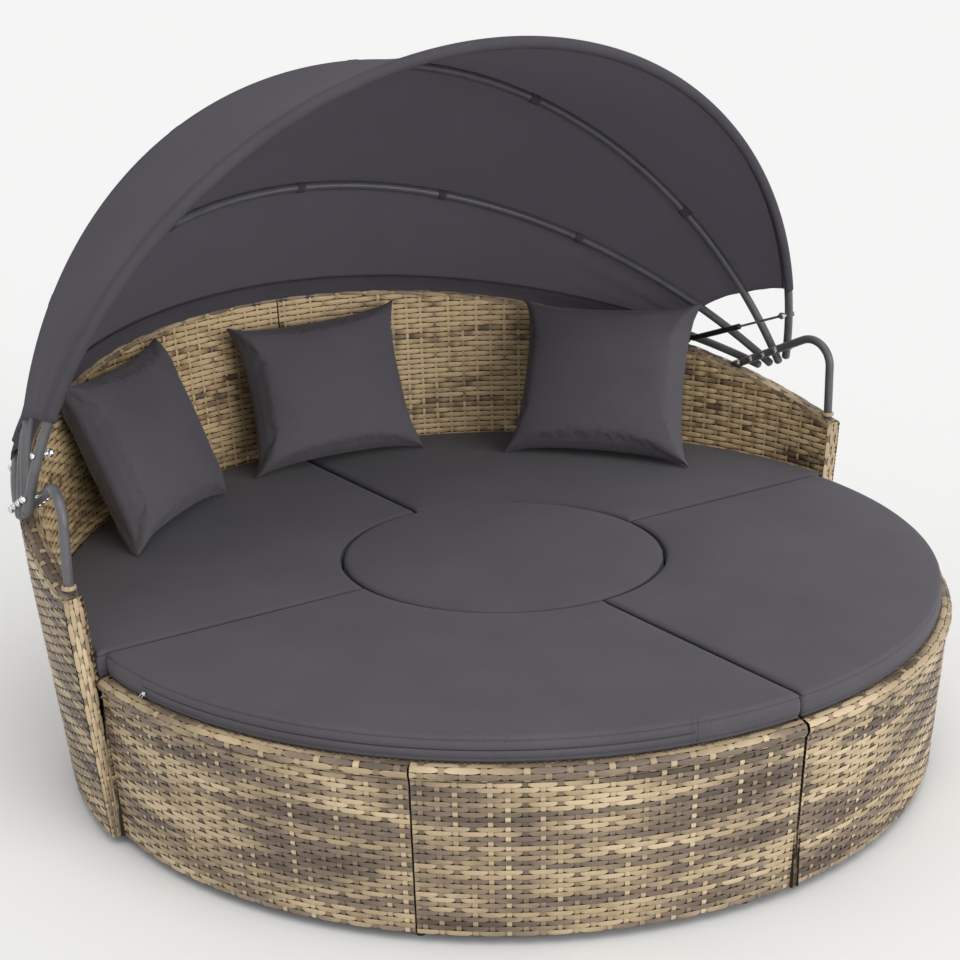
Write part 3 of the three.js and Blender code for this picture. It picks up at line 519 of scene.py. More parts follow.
# Ottomans: each is a quarter of the round seat, with an upright skirt of two woven panels that
# meet at a bound seam, a padded roll along the top, and woven sides towards its neighbours.
centre_y = sum(corner.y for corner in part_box("table_drum")) / 2
seat_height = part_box("table_drum")[1].z
floor_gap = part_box("right_ottoman_skirt")[0].z
ring_radius = 0.8717  # outside of the skirt at its bottom edge
ring_lean = 0.072
roll_height = 0.026
roll_bulge = 0.0055
core_radius = 0.337
half_gap = 0.003
seam_half = 0.0016
base_row = 0.0093
base_warp = 0.0285
roll_warp = 1.25 * base_warp
roll_row = 0.0115
side_inset = 0.0012
edge_width = 0.009
edge_bulge = 0.0024
roll_groove = 0.004  # shadow line between the skirt and its roll
roll_foot = 0.002
roll_wave = 0.0008
strip_wave = 0.0006
skirt_rise = seat_height - roll_height - floor_gap
skirt_profile = [(0, 0), (ring_lean * skirt_rise, skirt_rise)]


def round_path(radius, start, end, height, steps=60):
    """A level arc about the middle of the table, between two angles in degrees."""
    angles = np.radians(np.linspace(start, end, steps + 1))
    return [(radius * math.cos(a), centre_y + radius * math.sin(a), height) for a in angles]


def turned_point(radius, angle, aside, height):
    """A point at a radius along one angle in degrees, and aside from that line by a distance."""
    a = math.radians(angle)
    x = radius * math.cos(a) - aside * math.sin(a)
    y = radius * math.sin(a) + aside * math.cos(a)
    return (x, centre_y + y, height)


def gap_angle(radius, margin=half_gap):
    return math.degrees(math.asin(margin / radius))


def smooth_line(points, steps=24):
    """A rounder line through a few points, made by cutting its corners three times."""
    line = np.array(points, float)
    for _ in range(3):
        first = 0.75 * line[:-1] + 0.25 * line[1:]
        second = 0.25 * line[:-1] + 0.75 * line[1:]
        inner = np.stack([first, second], 1).reshape(-1, line.shape[1])
        line = np.vstack([line[:1], inner, line[-1:]])
    spots = np.linspace(0, len(line) - 1, steps + 1).round().astype(int)
    return [tuple(line[i]) for i in spots]


def roll_profile(start, rise):
    """Section of the padded roll, from the top of the skirt over to the seat."""
    return smooth_line([
        (start - roll_groove, rise + roll_foot),
        (start + 0.8 * roll_bulge, rise + 0.1 * roll_height),
        (start + 1.35 * roll_bulge, rise + 0.5 * roll_height),
        (start + 1.1 * roll_bulge, rise + 0.8 * roll_height),
        (start + 0.1 * roll_bulge, rise + roll_height),
        (start - 2.2 * roll_bulge, rise + 1.02 * roll_height),
    ])


def half_round(width, bulge, steps=10):
    turns = np.linspace(0, math.pi, steps + 1)
    return [(bulge * math.sin(t), -width / 2 * math.cos(t)) for t in turns]


def edge_strip(angle, aside, seed):
    """A strand bound up the skirt beside a seam or corner."""
    a = math.radians(angle)
    low = turned_point(ring_radius, angle, aside, floor_gap)
    high = turned_point(ring_radius + ring_lean * skirt_rise, angle, aside, floor_gap + skirt_rise)
    across = (-math.sin(a), math.cos(a), 0)
    return woven(
        [low, high], half_round(edge_width, edge_bulge), edge_width / 2, base_warp, seed, across,
        wave=strip_wave, number=bound_number,
    )


def box_sides(first, reach, seed):
    """Woven sides of a quarter towards its neighbours and the table."""
    rise = seat_height - floor_gap
    bands = []
    for angle, flip in ((first, 1), (first + 90, -1)):
        near = turned_point(core_radius, angle, flip * (half_gap + side_inset), floor_gap)
        far = turned_point(reach, angle, flip * (half_gap + side_inset), floor_gap)
        ends = (near, far) if flip > 0 else (far, near)
        bands.append(woven(ends, [(0, 0), (0, rise)], base_row, base_warp, seed + flip))
    turn = gap_angle(core_radius)
    inner = round_path(core_radius, first + 90 - turn, first + turn, floor_gap)
    bands.append(woven(inner, [(0, 0), (0, rise)], base_row, base_warp, seed + 4))
    return bands


def ottoman_bands(first, seed):
    """The woven bands of the quarter that starts at one angle, in degrees."""
    roll = roll_profile(ring_lean * skirt_rise, skirt_rise)
    margin = gap_angle(ring_radius)
    seam = first + 45
    seam_turn = gap_angle(ring_radius, seam_half)
    outer = ((first + margin, seam - seam_turn), (seam + seam_turn, first + 90 - margin))
    bands = box_sides(first, ring_radius + ring_lean * skirt_rise / 2, seed + 8)
    for part, (start, end) in enumerate(outer):
        path = round_path(ring_radius, start, end, floor_gap)
        bands.append(woven(path, skirt_profile, base_row, base_warp, seed + part))
        bands.append(woven(path, roll, roll_row, roll_warp, seed + 4 + part, wave=roll_wave))
        away = 2 * part - 1
        beside_seam = away * (seam_half + edge_width / 2)
        beside_corner = -away * (half_gap + edge_width / 2)
        bands.append(edge_strip(seam, beside_seam, seed + 20 + part))
        bands.append(edge_strip(first + 90 * part, beside_corner, seed + 30 + part))
    return bands


ottoman_starts = {"right": 270, "left": 180}
for side, first in ottoman_starts.items():
    mesh = joined_mesh(f"{side}_ottoman_weave", ottoman_bands(first, first / 10), weave_materials)
    weave = show(f"{side}_ottoman_weave", mesh)
    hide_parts(f"{side}_ottoman_skirt")
    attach(weave, f"{side}_ottoman")


# Sofa: arms and backrest in one flared shell, woven level outside and wider inside, and cut by a
# sloping rim with a padded roll. The front of each arm is bound with upright strands.
wall_radius = 0.876  # inside face at the bottom edge
wall_lean = 0.083
wall_base_depth = 0.020
wall_depth = 0.034
arm_height = seat_height + 0.1643
rim_slope = 0.276
rim_edge = 0.009
full_depth_height = 0.9 * arm_height
inner_row = 0.0128
inner_warp = 0.034
rim_row = 0.0115
back_half_gap = 0.0013  # the two walls meet closely at the back
inner_drop = 0.015  # how far the inner weave starts below the seat
sofa_side_level = 0.2  # height at which the sides reach the wall's inner face
rim_drop = 0.006  # from the rim's plane to where the flat weave ends
rim_lap = 0.004  # how far the rim's roll comes down over the wall
rim_proud = 0.001
rim_wave = 0.0009
rim_crown = 0.0012
arm_bulge = 0.003


def wall_inner(height):
    return wall_radius + (height - floor_gap) * wall_lean


def wall_outer(height):
    share = (min(height, full_depth_height) - floor_gap) / (full_depth_height - floor_gap)
    return wall_inner(height) + wall_base_depth + share * (wall_depth - wall_base_depth)


def wall_middle(height):
    return (wall_inner(height) + wall_outer(height)) / 2


def rim_height(angle):
    slope = rim_slope * math.sin(math.radians(angle))
    middle = wall_radius - floor_gap * wall_lean + wall_depth / 2
    return (arm_height + slope * middle) / (1 - slope * wall_lean)


def rim_point(angle):
    height = rim_height(angle) - rim_edge
    return turned_point(wall_middle(height), angle, 0, height)


def rim_profile():
    side = wall_depth / 2
    return smooth_line([
        (side, -rim_lap),
        (side + rim_proud, 0.3 * rim_edge),
        (0.7 * side, rim_edge),
        (0, 1.15 * rim_edge),
        (-0.7 * side, rim_edge),
        (-side - rim_proud, 0.3 * rim_edge),
        (-side, -rim_lap),
    ])


def wall_bands(first, seed):
    margin = gap_angle(wall_radius, back_half_gap)
    start, end = first + margin, first + 90 - margin
    top = rim_height(90)
    foot = wall_outer(floor_gap)
    outer_profile = [
        (wall_outer(height) - foot, height - floor_gap)
        for height in (floor_gap, full_depth_height, top)
    ]
    outer_path = round_path(foot, start, end, floor_gap)
    outer = woven(outer_path, outer_profile, base_row, base_warp, seed)
    inner_start = seat_height - inner_drop
    inner_rise = top - inner_start
    inner = woven(
        round_path(wall_inner(inner_start), end, start, inner_start),
        [(0, 0), (-inner_rise * wall_lean, inner_rise)],
        inner_row, inner_warp, seed + 1, wave=0.0018, crown=0.0032,
        warp_share=0.2, strand_share=0.9, pinch=0.26, number=inner_number,
    )
    rim_middle = Vector((0, centre_y, arm_height - rim_drop))
    cut = (rim_middle, Vector((0, -rim_slope, 1)).normalized())
    panels = joined_mesh("wall_panels", [outer, inner], weave_materials, cut)
    rim_path = [rim_point(angle) for angle in np.linspace(start, end, 61)]
    rim = woven(
        rim_path, rim_profile(), rim_row, roll_warp, seed + 2, wave=rim_wave, crown=rim_crown,
    )
    outward = 1 if first < 90 else -1
    front = [
        (outward * wall_middle(height), centre_y + half_gap + arm_bulge / 2, height)
        for height in np.linspace(floor_gap, arm_height, 12)
    ]
    narrowing = 1 - wall_base_depth / wall_depth
    binding = woven(
        front, half_round(wall_depth, arm_bulge), base_row, base_warp, seed + 3, (-1, 0, 0),
        number=bound_number, taper=narrowing,
    )
    return [panels, rim, binding]


sofa_starts = {"right": 0, "left": 90}
for side, first in sofa_starts.items():
    name = f"{side}_sofa_wall_weave"
    wall = show(name, joined_mesh(name, wall_bands(first, first / 10 + 60), weave_materials))
    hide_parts(f"{side}_sofa_wall")
    name = f"{side}_sofa_base_weave"
    sides = box_sides(first, wall_inner(sofa_side_level), first / 10 + 70)
    base = show(name, joined_mesh(name, sides, weave_materials))
    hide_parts(f"{side}_sofa_skirt")
    for piece in (wall, base):
        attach(piece, "sofa")


# Table: a woven drum with the same padded roll along its top. It stands free in the round hole
# between the four quarters, and lifts out of it.
drum_radius = (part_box("table_drum")[1].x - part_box("table_drum")[0].x) / 2 - roll_bulge
drum_path = round_path(drum_radius, 0, 360, floor_gap, steps=96)
drum_bands = [
    woven(drum_path, [(0, 0), (0, skirt_rise)], base_row, base_warp, 81),
    woven(drum_path, roll_profile(0, skirt_rise), roll_row, roll_warp, 82, wave=roll_wave),
]
drum = show("table_drum_weave", joined_mesh("table_drum_weave", drum_bands, weave_materials))
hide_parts("table_drum")
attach(drum, "table")


# Seat decks, frames and link bolts keep their solids. The decks are closely woven strand, the
# frames black coated steel that ends in foot glides, and the bolts plain plated steel.
deck_strand = 0.009
wear_scale = 22.0
peel_scale = 900.0
peel_relief = 0.18
turning_marks = (2500.0, 300.0, 300.0)

coating, given = new_group(
    "worn coating",
    "ShaderNodeTree",
    {"Place": "Vector", "Wear Scale": "Float", "Peel Scale": "Float", "Relief": "Float"},
    {"Wear": "Float", "Normal": "Vector"},
)
wear = noise_node(coating, given["Place"], given["Wear Scale"], 4.0, 0.6)
peel = noise_node(coating, given["Place"], given["Peel Scale"], 2.0)
peel_normal = bumped(coating, peel, given["Relief"], 0.0003)
add_node(coating, "NodeGroupOutput", {"Wear": wear, "Normal": peel_normal})


def coated_steel(name, dark, light, roughness):
    """Powder-coated tube: one grey, with a faint orange peel and worn patches."""
    material, tree = new_material(name)
    inputs = {
        "Place": object_place(tree),
        "Wear Scale": wear_scale,
        "Peel Scale": peel_scale,
        "Relief": peel_relief,
    }
    finish = add_node(tree, "ShaderNodeGroup", inputs, node_tree=coating).outputs
    shaded(tree, {
        "Base Color": tone_ramp(tree, finish["Wear"], ((0.3, (*dark, 1)), (0.7, (*light, 1)))),
        "Roughness": ranged(tree, finish["Wear"], roughness - 0.06, roughness + 0.1),
        "Normal": finish["Normal"],
    })
    return material


def plated_steel(name, colour, roughness):
    """Bright plated steel with fine turning marks."""
    material, tree = new_material(name)
    place = object_place(tree)
    marks = noise_node(tree, vector_node(tree, "MULTIPLY", place, turning_marks), 1.0, 2.0)
    dull = noise_node(tree, place, 120.0, 3.0)
    dim = tuple(0.8 * c for c in colour)
    shaded(tree, {
        "Base Color": tone_ramp(tree, dull, ((0.2, (*dim, 1)), (0.8, (*colour, 1)))),
        "Metallic": 1.0,
        "Roughness": ranged(tree, dull, roughness - 0.05, roughness + 0.1),
        "Normal": bumped(tree, marks, 0.12, 0.0002),
    })
    return material


def make_deck_material():
    material, tree = new_material("close woven deck")
    x, y, _ = separated(tree, object_place(tree))
    turn = math.pi / deck_strand
    relief = (x * turn).math("SINE").size() * (y * turn).math("SINE").size()
    strips = combined(tree, (y / deck_strand).floor(), x * 3.0)
    # The tone is darkened where the relief is low: painted shade in the dips between the strands.
    tone = noise_node(tree, strips, 1.7, 2.0) * (relief * 0.8 + 0.4)
    shaded(tree, {
        "Base Color": tone_ramp(tree, tone, strand_tones),
        "Roughness": 0.6,
        "Normal": bumped(tree, relief, 0.8, 0.002),
    })
    return material


def wear_finish(node, material):
    """Gives a kept solid its material."""
    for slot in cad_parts[node].material_slots:
        slot.material = material


deck_material = make_deck_material()
frame_dark, frame_light = (0.012, 0.012, 0.012), (0.022, 0.021, 0.020)
frame_black = coated_steel("black frame coating", frame_dark, frame_light, 0.45)
bright_plate = plated_steel("bright plated steel", (0.78, 0.79, 0.80), 0.22)
for name in ("right_sofa", "left_sofa", "right_ottoman", "left_ottoman"):
    wear_finish(f"{name}_deck", deck_material)
    wear_finish(f"{name}_frame", frame_black)
wear_finish("table_top", deck_material)
wear_finish("table_frame", frame_black)
for name in ("link_bolt_inner", "link_bolt_outer"):
    wear_finish(name, bright_plate)


# Rails: a bent grey tube on each arm. It stands in the arm's front end, turns over a bend and runs
# down into the rim, and its slope carries the four canopy pivots. A woven collar closes its foot.
tube_radius = 0.0095
rail_foot_setback = 0.020
rail_end_setback = 0.300
rail_plug = 0.030
rail_bend = 0.055
rail_fall = math.radians(24.8)
pivot_setback = 0.1666
pivot_spacing = 0.040
pivot_height = arm_height + 0.145
facet_share = math.cos(math.radians(4.5))  # the wall's middle, where it is faceted
collar_radius = 0.0125
collar_height = 0.008
collar_row = 0.0045
collar_warp = 0.016
collar_wave = 0.0004
dome_share = 0.7  # height of a tube's domed end, over its radius
dome_tip = 0.02  # radius of the small flat at its top, over the tube's
tube_sides = 28
origin = Vector((0, centre_y, 0))
up_axis = Vector((0, 0, 1))


def rail_seat(setback):
    height = arm_height + rim_slope * setback
    radius = wall_middle(height) * facet_share
    return Vector((math.sqrt(radius**2 - setback**2), setback, height)) + origin


rail_front = rail_seat(rail_foot_setback)
rail_plan = rail_seat(rail_end_setback) - rail_front
rail_plan.z = 0
rail_plan.normalize()
rail_slope = math.cos(rail_fall) * rail_plan - math.sin(rail_fall) * up_axis


def rail_at(setback):
    point = rail_front + (setback - rail_foot_setback) / rail_plan.y * rail_plan
    point.z = pivot_height - (setback - pivot_setback) / rail_plan.y * math.tan(rail_fall)
    return point


rail_corner = rail_at(rail_foot_setback)
bend_length = rail_bend * math.tan((math.pi / 2 + rail_fall) / 2)


def rail_line():
    foot = rail_corner.copy()
    foot.z = rail_front.z - rail_plug
    start = rail_corner - bend_length * up_axis
    points = [foot, (foot + start) / 2]
    for turn in np.linspace(0, math.pi / 2 + rail_fall, 17):
        level, rise = 1 - math.cos(turn), math.sin(turn)
        points.append(start + rail_bend * (level * rail_plan + rise * up_axis))
    end = rail_at(rail_end_setback) + rail_plug * rail_slope
    return [*points, (points[-1] + end) / 2, end]


def mirrored(points):
    return [Vector((-p[0], p[1], p[2])) for p in points]


def tube_rings(line, radius, side, domed):
    """Rings of points along a line in one plane, whose normal is side; domed ends close round."""
    spots = np.array(line, float)
    ways = np.gradient(spots, axis=0)
    ways /= np.linalg.norm(ways, axis=1)[:, None]
    sizes = np.full(len(spots), radius)
    if domed:
        turns = np.linspace(0, math.pi / 2, 5)[1:]
        near = [spots[0] - dome_share * radius * math.sin(t) * ways[0] for t in turns[::-1]]
        far = [spots[-1] + dome_share * radius * math.sin(t) * ways[-1] for t in turns]
        caps = np.maximum(radius * np.cos(turns), dome_tip * radius)
        spots = np.vstack([near, spots, far])
        first, last = (np.repeat(way, len(turns), 0) for way in (ways[:1], ways[-1:]))
        ways = np.vstack([first, ways, last])
        sizes = np.concatenate([caps[::-1], sizes, caps])
    across = np.cross(ways, np.array(side, float))
    across /= np.linalg.norm(across, axis=1)[:, None]
    upright = np.cross(across, ways)
    angles = np.linspace(0, 2 * math.pi, tube_sides, endpoint=False)[None, :, None]
    ring = np.cos(angles) * upright[:, None] + np.sin(angles) * across[:, None]
    return spots[:, None] + sizes[:, None, None] * ring


def ring_mesh(name, rings, material):
    """A smooth skin over rings of points, with flat ends and its faces turned outwards."""
    count, sides = rings.shape[:2]
    faces = [
        (low + k, low + (k + 1) % sides, low + sides + (k + 1) % sides, low + sides + k)
        for low in range(0, (count - 1) * sides, sides)
        for k in range(sides)
    ]
    faces.append(tuple(range(sides))[::-1])
    faces.append(tuple(range((count - 1) * sides, count * sides)))
    mesh = bpy.data.meshes.new(name)
    mesh.from_pydata(rings.reshape(-1, 3).tolist(), [], faces)
    whole = bmesh.new()
    whole.from_mesh(mesh)
    bmesh.ops.recalc_face_normals(whole, faces=whole.faces)
    whole.to_mesh(mesh)
    whole.free()
    mesh.polygons.foreach_set("use_smooth", [True] * len(mesh.polygons))
    mesh.materials.append(material)
    return mesh


tube_grey = coated_steel("grey tube coating", (0.085, 0.083, 0.089), (0.118, 0.116, 0.124), 0.34)
rail_side = rail_plan.cross(up_axis)
collar_profile = [
    (-0.001, 0), (0.0006, 0.25 * collar_height), (0.0006, 0.75 * collar_height),
    (-0.003, collar_height),
]
for side in ("right", "left"):
    line, normal, foot = rail_line(), rail_side, rail_front
    if side == "left":
        line = mirrored(line)
        normal = Vector((-rail_side.x, rail_side.y, rail_side.z))
        foot = mirrored([rail_front])[0]
    name = f"{side}_rail_tube"
    rail = show(name, ring_mesh(name, tube_rings(line, tube_radius, normal, False), tube_grey))
    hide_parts(f"{side}_rail")
    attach(rail, "sofa")
    ring = [
        foot + Vector((collar_radius * math.cos(turn), collar_radius * math.sin(turn), rim_drop))
        for turn in np.linspace(0, 2 * math.pi, 25)
    ]
    band = woven(
        ring, collar_profile, collar_row, collar_warp, 90, wave=collar_wave, number=bound_number,
    )
    name = f"{side}_rail_collar"
    collar = show(name, joined_mesh(name, [band], weave_materials))
    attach(collar, "sofa")


# Canopy hoops: four flat arcs of grey tube, each in its own tilted plane, on pivots along the
# rails. The rear one lies along the rim and stays; the other three swing back and fold down on it.
hoop_stand_off = 0.026
hoop_overhang = 0.024
hoop_steps = 121
hoop_sizes = {  # cloth_start: how far up from the pivots the cloth begins
    1: dict(reach=0.700, tilt=-74.5, width_share=1.0, cloth_start=0.167),
    2: dict(reach=0.720, tilt=-53.8, width_share=0.903, cloth_start=0.172),
    3: dict(reach=0.779, tilt=-25.2, width_share=0.972, cloth_start=0.148),
    4: dict(reach=0.789, tilt=13.9, width_share=1.030, cloth_start=0.150),
}


class Hoop:
    """An elliptic arc from pivot to pivot; distances along it are measured up from the pivots."""

    def __init__(self, number, reach, tilt, width_share, cloth_start):
        self.number = number
        self.pivot = rail_at(pivot_setback + (4 - number) * rail_slope.y * pivot_spacing)
        self.half_width = self.pivot.x + hoop_stand_off
        self.height = ((self.half_width / width_share) ** 2 + reach**2) / (2 * reach)
        self.width = width_share * self.height
        self.drop = self.height - reach
        tilt = math.radians(tilt)
        self.rise = Vector((0, -math.sin(tilt), math.cos(tilt)))
        self.normal = Vector((0, math.cos(tilt), math.sin(tilt)))
        self.cloth_start = cloth_start

    def angle_at(self, distance):
        return math.asin((distance + self.drop) / self.height)

    def point(self, angle):
        distance = self.height * math.sin(angle) - self.drop
        level = Vector((self.width * math.cos(angle), self.pivot.y, self.pivot.z))
        return level + distance * self.rise

    def share_point(self, share, start):
        """A point between the two places at one distance up from the pivots, left to right."""
        foot = self.angle_at(start)
        return self.point(math.pi - foot + share * (2 * foot - math.pi))

    def cloth_point(self, share):
        return self.share_point(share, self.cloth_start)

    def cloth_way(self, share, step=0.01):
        return self.cloth_point(share + step) - self.cloth_point(share - step)


hoops = [Hoop(number, **sizes) for number, sizes in hoop_sizes.items()]
hoop_bodies = ["sofa", "rear_hoop", "middle_hoop", "front_hoop"]
for hoop, body in zip(hoops, hoop_bodies):
    line = [hoop.share_point(share, -hoop_overhang) for share in np.linspace(0, 1, hoop_steps)]
    name = f"hoop_{hoop.number}_tube"
    tube = show(name, ring_mesh(name, tube_rings(line, tube_radius, hoop.normal, True), tube_grey))
    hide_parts(f"hoop_{hoop.number}")
    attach(tube, body)


# Pivot bolts: a hex nut on the rail's inner side, a spacer between rail and hoop, and a washer and
# a domed cap nut on the hoop's outer side, all plated steel.
fit = 0.0003
shank_radius = 0.003
shank_tip = 0.002
tip_bevel = 0.0005
nut_width = 0.012
nut_height = 0.005
cap_width = 0.013
cap_height = 0.008
washer_radius = 0.007
washer_thickness = 0.0012
spacer_radius = 0.005
sideways = Vector((1, 0, 0))
crease_angle = math.radians(32)


def turn_onto(whole, profile, start, way, sides=24):
    """Adds a turned body to a bmesh: its profile gives radius and distance along the way."""
    way = Vector(way).normalized()
    across = way.orthogonal().normalized()
    upright = way.cross(across)
    rings = []
    for radius, along in profile:
        middle = start + along * way
        if radius == 0:
            rings.append([whole.verts.new(middle)])
            continue
        turns = [2 * math.pi * (k + 0.5) / sides for k in range(sides)]
        spokes = [math.cos(t) * across + math.sin(t) * upright for t in turns]
        rings.append([whole.verts.new(middle + radius * spoke) for spoke in spokes])
    for low, high in zip(rings, rings[1:]):
        for k in range(max(len(low), len(high))):
            spots = ((low, k), (low, k + 1), (high, k + 1), (high, k))
            corners = [ring[i % len(ring)] for ring, i in spots]
            whole.faces.new(list(dict.fromkeys(corners)))


def disc(radius, start, end):
    return [(0, start), (radius, start), (radius, end), (0, end)]


def hex_profile(width, height):
    """A hexagon nut's profile with worn corners."""
    corner = width / math.sqrt(3)
    worn = 0.86 * corner
    return [
        (0, 0), (worn, 0), (corner, 0.14 * height), (corner, 0.86 * height), (worn, height),
        (0, height),
    ]


def creased_mesh(name, whole, material):
    """The bmesh as a mesh that is smooth but for its corners."""
    bmesh.ops.recalc_face_normals(whole, faces=whole.faces)
    for face in whole.faces:
        face.smooth = True
    for edge in whole.edges:
        edge.smooth = len(edge.link_faces) == 2 and edge.calc_face_angle() < crease_angle
    mesh = bpy.data.meshes.new(name)
    whole.to_mesh(mesh)
    whole.free()
    mesh.materials.append(material)
    return mesh


def mirror_bmesh(whole):
    for vertex in whole.verts:
        vertex.co.x = -vertex.co.x


def pivot_bolt(hoop):
    lean = abs(hoop.width / hoop.height * math.tan(hoop.angle_at(0)))
    hoop_span = tube_radius * math.hypot(1, lean)
    rail_span = tube_radius / rail_plan.y
    rail_lean = abs(rail_plan.x / rail_plan.y)
    tip = hoop.pivot.x - rail_span - rail_lean * nut_width / 2 - nut_height
    spacer_start = hoop.pivot.x + rail_span
    spacer_length = hoop.half_width - hoop_span - spacer_start
    washer_start = hoop.half_width + hoop_span + lean * washer_radius
    cap_start = washer_start + washer_thickness
    whole = bmesh.new()

    def add(profile, x, sides=24):
        turn_onto(whole, profile, Vector((x, hoop.pivot.y, hoop.pivot.z)), sideways, sides)

    shank = [
        (0, -shank_tip), (0.8 * shank_radius, -shank_tip),
        (shank_radius, tip_bevel - shank_tip), (shank_radius, cap_start - tip),
        (0, cap_start - tip),
    ]
    dome = [
        (0.46 * cap_width * math.cos(t), cap_height * (0.42 + 0.58 * math.sin(t)))
        for t in np.linspace(0, math.pi / 2, 7)
    ]
    add(shank, tip, 16)
    add(hex_profile(nut_width, nut_height), tip, 6)
    add(disc(spacer_radius, 0, spacer_length), spacer_start)
    add(disc(washer_radius, 0, washer_thickness), washer_start)
    add(hex_profile(cap_width, 0.45 * cap_height), cap_start, 6)
    add([(0, 0.3 * cap_height), *dome[:-1], (0, cap_height)], cap_start)
    return whole


for hoop in hoops:
    for side in ("right", "left"):
        whole = pivot_bolt(hoop)
        if side == "left":
            mirror_bmesh(whole)
        name = f"{side}_pivot_bolt_{hoop.number}"
        bolt = show(f"{name}_shape", creased_mesh(name, whole, bright_plate))
        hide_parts(name)
        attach(bolt, "sofa")


# Gas struts: a black cylinder with a ball socket on a stud of the rear hoop, and a bright rod whose
# eye hangs on a pin of the front hoop. The rod slides into the cylinder as the canopy folds.
strut_rear_reach = 0.141
strut_front_reach = 0.087
rear_stand_off = 0.030
front_stand_off = 0.022
ball_radius = 0.005
stud_radius = 0.003
stud_head_radius = 0.0055
stud_head_height = 0.003
socket_radius = 0.0084
cylinder_radius = 0.007
cylinder_length = 0.165
cylinder_floor = 0.014
cylinder_round = 0.003
rod_radius = 0.003
rod_length = 0.154
piston_length = 0.010
eye_radius = 0.008
eye_thickness = 0.008
end_fitting_length = 0.0095
end_fitting_radius = 0.0048
pin_gap = 0.002
stud_reach = 1.2 * tube_radius  # from the hoop's middle to under the stud's head
rod_bore = 0.008  # depth of the hole that the rod runs out of
rod_stop = 0.002  # from the rod's end to the middle of its eye
piston_radius = cylinder_radius - 0.002
rear_seat = hoops[0].point(hoops[0].angle_at(strut_rear_reach))
front_seat = hoops[3].point(hoops[3].angle_at(strut_front_reach))
rear_ball = rear_seat - rear_stand_off * sideways
front_eye = front_seat - front_stand_off * sideways
strut_way = (front_eye - rear_ball).normalized()
strut_span = (front_eye - rear_ball).length
strut_black = coated_steel("black strut paint", (0.010, 0.010, 0.011), (0.020, 0.020, 0.021), 0.24)


def ball_profile(radius, steps=12):
    turns = np.linspace(0, math.pi, steps + 1)
    inner = [(radius * math.sin(t), -radius * math.cos(t)) for t in turns[1:-1]]
    return [(0, -radius), *inner, (0, radius)]


def stud_bolt(whole, inner, start, outer):
    """The shank of a stud from inside a hoop, with a hexagon head on the hoop's outer side."""
    head = outer.x + stud_reach - inner.x
    turn_onto(whole, disc(stud_radius, start, head), inner, sideways)
    hexagon = hex_profile(2 * stud_head_radius, stud_head_height)
    turn_onto(whole, hexagon, inner + head * sideways, sideways, 6)


def rear_stud():
    whole = bmesh.new()
    stud_bolt(whole, rear_ball, 0, rear_seat)
    turn_onto(whole, ball_profile(ball_radius), rear_ball, sideways)
    return whole


def front_pin():
    whole = bmesh.new()
    face = eye_thickness / 2 + pin_gap
    stud_bolt(whole, front_eye, face, front_seat)
    flange = disc(stud_head_radius, face, face + stud_head_height)
    turn_onto(whole, flange, front_eye, sideways)
    return whole


def strut_cylinder():
    whole = bmesh.new()
    end = cylinder_length
    turn_onto(whole, [
        (0, 0.5 * socket_radius),
        (0.55 * cylinder_radius, 0.8 * socket_radius),
        (0.55 * cylinder_radius, cylinder_floor),
        (cylinder_radius - cylinder_round, cylinder_floor),
        (cylinder_radius, cylinder_floor + cylinder_round),
        (cylinder_radius, end - cylinder_round),
        (cylinder_radius - cylinder_round, end),
        (rod_radius + fit, end),
        (rod_radius + fit, end - rod_bore),
        (0, end - rod_bore),
    ], rear_ball, strut_way, 32)
    turn_onto(whole, ball_profile(socket_radius), rear_ball, sideways, 28)
    return whole


def strut_rod():
    whole = bmesh.new()
    start = strut_span - rod_length
    end = strut_span - rod_stop
    turn_onto(whole, [
        (0, start),
        (piston_radius, start),
        (piston_radius, start + piston_length),
        (rod_radius, start + piston_length),
        (rod_radius, end),
        (0, end),
    ], rear_ball, strut_way)
    half = eye_thickness / 2
    turn_onto(whole, [
        (0, -half),
        (0.8 * eye_radius, -half),
        (eye_radius, -0.6 * half),
        (eye_radius, 0.6 * half),
        (0.8 * eye_radius, half),
        (0, half),
    ], front_eye, sideways)
    return whole


def rod_end():
    whole = bmesh.new()
    fitting = strut_span - end_fitting_length
    turn_onto(whole, [
        (0, fitting),
        (0.75 * end_fitting_radius, fitting),
        (end_fitting_radius, fitting + 0.003),
        (end_fitting_radius, strut_span - 0.7 * eye_radius),
        (0, strut_span - 0.7 * eye_radius),
    ], rear_ball, strut_way)
    return whole


strut_parts = (
    ("rear_ball_stud", rear_stud, bright_plate, "bright_metal", "sofa"),
    ("front_strut_pin", front_pin, bright_plate, "bright_metal", "front_hoop"),
    ("strut_cylinder", strut_cylinder, strut_black, "strut_steel", "{side}_cylinder"),
    ("strut_rod", strut_rod, bright_plate, "bright_metal", "{side}_rod"),
    ("strut_rod_end", rod_end, strut_black, "strut_steel", "{side}_rod"),
)
for name, make, material, slot, body in strut_parts:
    for side in ("right", "left"):
        whole = make()
        if side == "left":
            mirror_bmesh(whole)
        piece = show(f"{side}_{name}_shape", creased_mesh(f"{side}_{name}", whole, material))
        if name != "strut_rod_end":
            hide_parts(f"{side}_{name}")
        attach(piece, body.format(side=side))


